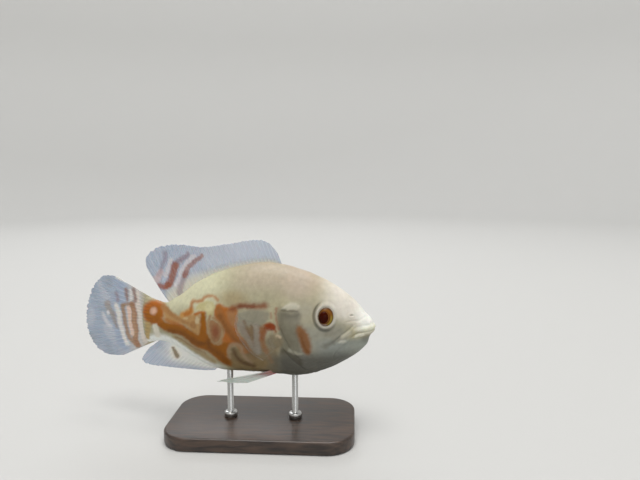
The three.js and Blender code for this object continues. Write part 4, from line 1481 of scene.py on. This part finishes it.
paint.stroke(
    "#9f8062", (1.5, 1.1), (135.9, 8.6), (135.8, 4.1), (135, -0.2), (134.3, -4.7), (132.4, -9),
    (129.6, -12.4), soft=0.9, strength=0.9,
)
paint.stroke("#9a7856", 0.8, (135.4, 9), (132.9, 9.9), (130, 9.8), soft=0.8, strength=0.8)
paint.stroke(
    "#e9e6df", 1.4, (140.3, 9), (139.5, 4.9), (138.8, 1.1), (137.7, -3.3), (136.6, -7.7),
    (134.7, -11.8), soft=0.9, strength=0.9,
)
paint.stroke(
    "#8d7f74", (2.1, 0.9), (146.3, 8.5), (144.9, 6), (143.1, 3.5), (141.9, 0.2), (140.6, -3.4),
    soft=1.1, strength=0.8,
)
paint.spot("#dfe0e2", (146, 4.4), (1, 1.2), soft=0.5, strength=0.8)
paint.stroke("#dad9dc", 1, (149.6, 3), (147.2, -0.4), (145, -3.6), soft=1, strength=0.7)
for back in (128.4, 133.4):
    paint.stroke("#8b6c60", (1.2, 0.9), (back + 0.4, 17.6), (back - 0.2, 12), soft=0.9, strength=0.8)
paint.stroke("#dedad8", 0.6, (131, 17.6), (130.6, 12), soft=0.6, strength=0.8)
paint.stroke(MAUVE, (1, 0.8), (140.6, 15.4), (139.4, 11.6), soft=1, strength=0.7)
paint.stroke(
    WARM_WHITE, (1.6, 0.8), (106, 12.6), (113, 15.2), (119, 17.6), (125, 19.8), (131, 21.7),
    (140, 24.2),
)
mark_ring(paint)
cover = 0.56 + 0.12 * ray + 0.6 * rise(out_back, 146, 128)
lay_on_fish(web, straight, paint.colour, "fin", "caudal_fin", cover=cover)

# %% Shapes of the paired fins
def beside(side, back, height, clear):
    """Points a distance clear of the flank at a side."""
    return np.stack([back, side * (side_at(back, height) + clear), height], axis=-1)


def pectoral(side):
    """The fan behind a gill cover, held a little away from the flank."""
    clear = through([(0, 7.5), (0.35, 7), (0.7, 5), (1, 3)])
    backs = through([(0, 67), (0.3, 67.5), (0.55, 64.5), (0.8, 60.5), (1, 55.5)])
    heights = through([(0, 12.8), (0.3, 5.6), (0.55, -1.6), (0.8, -8), (1, -12.2)])
    return Fin(
        rays=13,
        root=lambda a: beside(side, lerp(48.6, 47.2, a), lerp(2.8, -4.2, a), -1.6),
        margin=lambda a: beside(side, backs(a), heights(a), clear(a)),
        bow=lambda a, b: sideways(side * 1.6 * np.sin(math.pi * b)),
        thick=0.8,
    )


def pelvic(side):
    """The narrow fin under the belly, laid back."""
    backs = through([(0, 65), (0.2, 78.5), (0.45, 76), (0.75, 70), (1, 63)])
    heights = through([(0, -26), (0.2, -25.2), (0.45, -23.6), (0.75, -22.3), (1, -21.2)])
    asides = through([(0, 8.4), (0.2, 10), (0.45, 10.6), (0.75, 10.8), (1, 10.6)])

    def root(a):
        return np.stack([lerp(46.5, 51.5, a), side * lerp(3.6, 5.6, a), lerp(-20.6, -19.4, a)], axis=-1)

    return Fin(
        rays=6,
        root=root,
        margin=lambda a: np.stack([backs(a), side * asides(a), heights(a)], axis=-1),
        spiny=1 / 6,
        notch=0.05,
    )


print("rays:", pectoral(1).rays, "in a pectoral fin and", pelvic(1).rays, "in a pelvic fin")

# %% Make the paired fins
for word, side in SIDES.items():
    web, straight, a, b, ray = build_fin(f"pectoral_web_{word}", pectoral(side), 12, 44)
    paint = web_paint(straight, ray, seed=80)
    paint.lay("#978d7a", np.full(len(b), 0.8))
    cover = 0.03 + 0.055 * ray + 0.8 * rise(b, 0.16, 0.02) + 0.12 * rise(b, 0.93, 0.97)
    lay_on_fish(web, straight, paint.colour, "fin", f"pectoral_fin_{word}", cover=cover)
    web, straight, a, b, ray = build_fin(f"pelvic_web_{word}", pelvic(side), 18, 60)
    paint = web_paint(straight, ray, seed=90)
    paint.lay("#dfe6d8", 0.8 * rise(b, 0.2, 0.5))
    streak = np.sin(a * 25 + 0.5)
    paint.lay(SALMON, 0.8 * rise(b, 0.6, 0.15) * rise(streak, 0.2, -0.6))
    paint.lay("#b0432a", 0.9 * rise(b, 0.6, 0.15) * rise(streak, -0.2, 0.6))
    cover = 0.6 + 0.2 * ray + 0.5 * rise(b, 0.5, 0.1)
    lay_on_fish(web, straight, paint.colour, "fin", f"pelvic_fin_{word}", cover=cover)

# %% [markdown]
# ## Scales
# Scales lie like roof tiles: each root is sunk in the skin, and each round rear edge stands a little
# proud over the next row. The rows run along the lateral line, and the scales get smaller towards the
# tail. One tile is made as a small bmesh, and then hundreds of copies are laid on each flank at once with
# arrays, which is far quicker than an operator for each. A copy follows the curve and the folds of the
# skin under it, and keeps a spot of the bake map at the place of its root.

# %% Where the scales grow
LATERAL = through([(44, 14.5), (60, 13.5), (78, 10), (96, 4.5), (110, 3), (124, 2.6)])
PITCH = through([(44, 2.35), (80, 2.2), (124, 1.55)])
ROW_PITCH = through([(44, 2.2), (80, 2.0), (124, 1.35)])
SCALE_FRONT = through([
    (-26, 41), (-18, 43), (-8, 44.6), (0, 47.4), (6, 49.8), (12, 50), (17, 48), (22, 43), (30, 39), (36, 37),
])
SCALE_REAR = 119.5
FIRST_ROOT = 40.0
SCALE_ROWS = range(-26, 24)
STEEPEST = 1.5


def girth_angles(back, offset, steps=181):
    """The angle at which a point lies an offset round the flank above the lateral line."""
    angles = np.linspace(-math.pi / 2, math.pi / 2, steps)
    curve = skin_point(np.repeat(back[:, None], steps, 1), np.repeat(angles[None], len(back), 0))
    walked = np.cumsum(np.linalg.norm(np.diff(curve, axis=1), axis=2), axis=1)
    walked = np.hstack([np.zeros((len(back), 1)), walked])
    found = np.empty(len(back))
    for i, (heights, run) in enumerate(zip(curve[:, :, 2], walked)):
        start = np.interp(LATERAL(back[i]), heights, run)
        found[i] = np.interp(start + offset[i], run, angles, left=-9, right=9)
    return found


def scale_roots():
    """The back and the angle of every scale on a side, and how far it lies behind the first ones."""
    backs = [FIRST_ROOT]
    while backs[-1] < SCALE_REAR:
        backs.append(backs[-1] + float(PITCH(np.array(backs[-1]))))
    found = []
    for row in SCALE_ROWS:
        stagger = 0.5 * (row % 2)
        back = np.array(backs) + stagger * PITCH(np.array(backs))
        angle = girth_angles(back, row * ROW_PITCH(back))
        found.append(np.stack([back, angle, back], axis=-1))
    found = np.vstack(found)
    found = found[np.abs(found[:, 1]) < STEEPEST]
    found[:, 2] -= SCALE_FRONT(skin_point(found[:, 0], found[:, 1])[:, 2])
    return found[(found[:, 2] > 0) & (found[:, 0] < SCALE_REAR)]


roots = scale_roots()
print("scales on a side:", len(roots))

# %% One tile
TILE_LENGTH = 1.42
TILE_HALF = 0.98
TILE_THICK = 0.1
TILE_LIFT = 0.1
TILE_SUNK = 0.05
TILE_ARCH = 0.04
TILE_ROUND = 0.42


def tile():
    """A tile with a round end: how far along and across each vertex lies, its top, and its faces."""
    bm = slab(columns=5, rows=8)
    bm.verts.index_update()
    flat = np.array([vertex.co for vertex in bm.verts])
    faces = [[vertex.index for vertex in face.verts] for face in bm.faces]
    bm.free()
    turn = math.pi * np.clip(flat[:, 1], -0.5, 0.5)
    along = np.clip(flat[:, 0] + 0.5, 0, 1) * (1 - TILE_ROUND * (1 - np.cos(turn)))
    across = np.sin(turn) * lerp(0.75, 1, rise(along, 0, 0.4))
    top = lerp(-TILE_SUNK, TILE_LIFT, along) - TILE_ARCH * across**2
    under = flat[:, 2] < flat[:, 2].mean()
    return along, across, top, under, np.array(faces)


tile_along, tile_across, tile_top, tile_under, tile_faces = tile()
print("one tile:", len(tile_faces), "faces")

# %% Lay the tiles on a side
TILE_PATCH = 0.003
FIRST_TOP = -0.08
FIRST_ROWS = 7
ROOT_SHARE = 0.45
SIZES = (0.95, 1.05)
LIFTS = (-0.01, 0.015)
TONES = (0.97, 1.03)
SHARP_FROM = math.radians(50)


def surface(back, angle):
    """Points of the straight skin, the direction square to it, and how far a turn of the angle goes."""
    step = 0.02
    ahead = skin_point(back + step, angle, -COAT_DEPTH) - skin_point(back - step, angle, -COAT_DEPTH)
    around = skin_point(back, angle + step, -COAT_DEPTH) - skin_point(back, angle - step, -COAT_DEPTH)
    square = np.cross(around, ahead)
    square /= np.linalg.norm(square, axis=-1)[..., None]
    return skin_point(back, angle, -COAT_DEPTH), square, np.linalg.norm(around, axis=-1) / (2 * step)


def lay_scales(name, side):
    """Makes all the scales of one side as one mesh."""
    draw = np.random.default_rng(20 + side)
    count = len(roots)
    root_back, root_angle, behind = np.split(roots, 3, axis=1)
    size = draw.uniform(*SIZES, (count, 1))
    _, _, speed = surface(root_back, root_angle)
    back = root_back + PITCH(root_back) * TILE_LENGTH * size * (tile_along - ROOT_SHARE)
    back = np.minimum(back, BODY_LENGTH - 1)
    angle = root_angle + ROW_PITCH(root_back) * TILE_HALF * size / speed * tile_across
    angle = np.clip(angle, -math.pi / 2, math.pi / 2)
    top = tile_top + draw.uniform(*LIFTS, (count, 1))
    top = lerp(FIRST_TOP, top, rise(behind, 0, FIRST_ROWS))
    base, square, _ = surface(back, angle)
    mirror = np.array([1, side, 1])
    base = base.reshape(-1, 3) * mirror
    high = (top - TILE_THICK * tile_under).ravel() + relief(base)
    straight = base + high[:, None] * square.reshape(-1, 3) * mirror
    faces = (tile_faces[None] + len(tile_along) * np.arange(count)[:, None, None]).reshape(-1, 4)
    if side > 0:
        faces = faces[:, ::-1]
    mesh = bpy.data.meshes.new(name)
    mesh.from_pydata(bend(straight), [], faces)
    # painted shade: each scale is darker at its root, where the scale in front overlaps it; each also gets a
    # random tone
    tone = lerp(0.95, 1.02, np.tile(tile_along, count))
    tone *= np.repeat(draw.uniform(*TONES, count), len(tile_along))
    store_colour(mesh, painted(base) * tone[:, None])
    patch_u = root_back / BODY_LENGTH + TILE_PATCH * (tile_along - 0.5)
    patch_v = root_angle / math.pi + 0.5 + TILE_PATCH * 0.5 * tile_across
    layer = mesh.uv_layers.new(name="OFBake")
    patch = np.stack([patch_u.ravel(), patch_v.ravel()], axis=-1)
    layer.data.foreach_set("uv", patch[faces.ravel()].ravel())
    piece = add_object(mesh, scale_finish)
    mesh.set_sharp_from_angle(angle=SHARP_FROM)
    dress(piece, "scaled_skin")


for word, side in SIDES.items():
    lay_scales(f"scales_{word}", side)

# %% [markdown]
# ## The lateral line
# A row of tiny tubes runs along each flank and feels the water move. In cichlids it breaks in two: the
# front part runs high, and the rear part follows the middle of the tail stalk. Each tube is a short
# bead, drawn out along the body and sunk until it is level with the scales.

# %% Beads of the lateral line
UPPER_LINE = through([(48, 15.5), (60, 14.8), (74, 12.4), (86, 9.5)])
LOWER_LINE = through([(80, 2.6), (96, 2.4), (117, 2.6)])
BEAD_RUNS = [(UPPER_LINE, 49, 86), (LOWER_LINE, 82, 112)]
BEAD_PITCH = 2.3
BEAD_SUNK = 0.25
BEAD_RADII = (0.7, 0.16, 0.24)
BEAD_TILT = 0.12


def beads(side):
    """Short tubes along both parts of a lateral line, in straight coordinates."""
    bm = bmesh.new()
    for line, start, end in BEAD_RUNS:
        for back in np.arange(start, end, BEAD_PITCH):
            height = float(line(back))
            out = float(side_at(np.array(back), np.array(height))) - BEAD_SUNK
            made = bmesh.ops.create_icosphere(bm, subdivisions=2, radius=1)["verts"]
            bmesh.ops.scale(bm, vec=BEAD_RADII, verts=made)
            bmesh.ops.rotate(bm, cent=(0, 0, 0), matrix=Matrix.Rotation(BEAD_TILT, 3, "Y"), verts=made)
            bmesh.ops.translate(bm, vec=(back, side * out, height), verts=made)
    return bm


for word, side in SIDES.items():
    line = add_object(new_mesh(f"lateral_line_{word}", beads(side)), scale_finish)
    straight = places_of(line.data)
    lay_on_fish(line, straight, painted(straight), "scaled_skin")

# %% [markdown]
# ## The stand
# The stand must hold the fish up and not draw the eye: a low base of dark wood with soft corners, and
# two thin steel rods in small collars. The base is a cube whose upright edges are bevelled into round
# corners, and whose upper and lower rims get a small round. A rod is a profile spun round its axis. It
# ends just inside the belly, so no gap shows.

# %% Finishes of the stand
DARK_STAIN = (0.018, 0.011, 0.008, 1)
LIGHT_STAIN = (0.075, 0.045, 0.03, 1)
STEEL = (0.56, 0.56, 0.55, 1)


def stretched(nodes, links, scale):
    """The object's own coordinates, stretched by a scale for each axis."""
    coordinates = nodes.new("ShaderNodeTexCoord")
    mapping = nodes.new("ShaderNodeMapping")
    mapping.inputs["Scale"].default_value = scale
    links.new(coordinates.outputs["Object"], mapping.inputs["Vector"])
    return mapping.outputs["Vector"]


def dark_wood(name):
    """Stained wood with fine grain along its length, under a satin varnish."""
    material, nodes, links, shader = start_material(name)
    grain = nodes.new("ShaderNodeTexNoise")
    grain.inputs["Scale"].default_value = 6
    grain.inputs["Detail"].default_value = 8
    grain.inputs["Distortion"].default_value = 0.4
    links.new(stretched(nodes, links, (12, 90, 90)), grain.inputs["Vector"])
    stain = nodes.new("ShaderNodeValToRGB")
    stain.color_ramp.elements[0].position = 0.35
    stain.color_ramp.elements[0].color = DARK_STAIN
    stain.color_ramp.elements[1].position = 0.68
    stain.color_ramp.elements[1].color = LIGHT_STAIN
    links.new(grain.outputs["Fac"], stain.inputs["Fac"])
    links.new(stain.outputs["Color"], shader.inputs["Base Color"])
    links.new(spread(nodes, links, grain.outputs["Fac"], 0.38, 0.52), shader.inputs["Roughness"])
    bumped(nodes, links, shader, grain.outputs["Fac"], distance=0.00015, strength=0.3)
    shader.inputs["Coat Weight"].default_value = 0.25
    shader.inputs["Coat Roughness"].default_value = 0.25
    return material


def brushed_steel(name):
    """Steel with fine marks round it."""
    material, nodes, links, shader = start_material(name)
    marks = nodes.new("ShaderNodeTexNoise")
    marks.inputs["Scale"].default_value = 1
    links.new(stretched(nodes, links, (60, 60, 5000)), marks.inputs["Vector"])
    shader.inputs["Base Color"].default_value = STEEL
    shader.inputs["Metallic"].default_value = 1
    links.new(spread(nodes, links, marks.outputs["Fac"], 0.22, 0.38), shader.inputs["Roughness"])
    return material

# %% Base
BASE = {"length": 96, "width": 54, "height": 7, "corner": 14, "edge": 1.2}


def round_off(bm, edges, radius, segments):
    """Rounds edges off with a bevel."""
    bmesh.ops.bevel(
        bm, geom=edges, offset=radius, offset_type="OFFSET", affect="EDGES", segments=segments,
        profile=0.5, material=-1,
    )


bm = bmesh.new()
bmesh.ops.create_cube(bm, size=1)
bmesh.ops.scale(bm, vec=(BASE["length"], BASE["width"], BASE["height"]), verts=bm.verts)
bmesh.ops.translate(bm, vec=(0, 0, BASE["height"] / 2), verts=bm.verts)
upright = [edge for edge in bm.edges if abs(edge.verts[0].co.z - edge.verts[1].co.z) > 1]
round_off(bm, upright, BASE["corner"], segments=18)
rims = [edge for edge in bm.edges if abs(edge.verts[0].co.z - edge.verts[1].co.z) < 0.001]
round_off(bm, rims, BASE["edge"], segments=5)
bmesh.ops.scale(bm, vec=(MM, MM, MM), verts=bm.verts)
base = add_object(new_mesh("base", bm), dark_wood("stained_wood"))
dress(base, "stand_wood", "stand_base")

# %% Rods
ROD_RADIUS = 1.6
COLLAR_RADIUS = 3.4
COLLAR_HEIGHT = 3
COLLAR_ROUND = 0.8
ROD_AT = {"front": 17, "rear": -17}
ROD_IN_BELLY = 0.8
ROD_STEPS = 48
ROD_FLARE = (0.2, 0.3)
ROD_TIP = 0.4
steel = brushed_steel("steel")
for word, x in ROD_AT.items():
    back = SNOUT_AT[0] - x
    top = SNOUT_AT[1] + float(belly_line(back)) + ROD_IN_BELLY
    foot = BASE["height"]
    collar = foot + COLLAR_HEIGHT
    profile = [
        (0, foot), (COLLAR_RADIUS, foot), (COLLAR_RADIUS, collar - COLLAR_ROUND),
        (COLLAR_RADIUS - 0.25, collar - 0.25), (COLLAR_RADIUS - COLLAR_ROUND, collar),
        (ROD_RADIUS + ROD_FLARE[0], collar), (ROD_RADIUS, collar + ROD_FLARE[1]),
        (ROD_RADIUS, top - ROD_TIP), (ROD_RADIUS - ROD_TIP, top), (0, top),
    ]
    bm = bmesh.new()
    corners = [bm.verts.new((radius, 0, height)) for radius, height in profile]
    outline = [bm.edges.new(pair) for pair in zip(corners, corners[1:])]
    spin_round(bm, corners + outline, ROD_STEPS, 0.001)
    bmesh.ops.translate(bm, vec=(x, 0, 0), verts=bm.verts)
    bmesh.ops.scale(bm, vec=(MM, MM, MM), verts=bm.verts)
    rod = add_object(new_mesh(f"rod_{word}", bm), steel)
    dress(rod, "stand_steel", f"stand_rod_{word}")
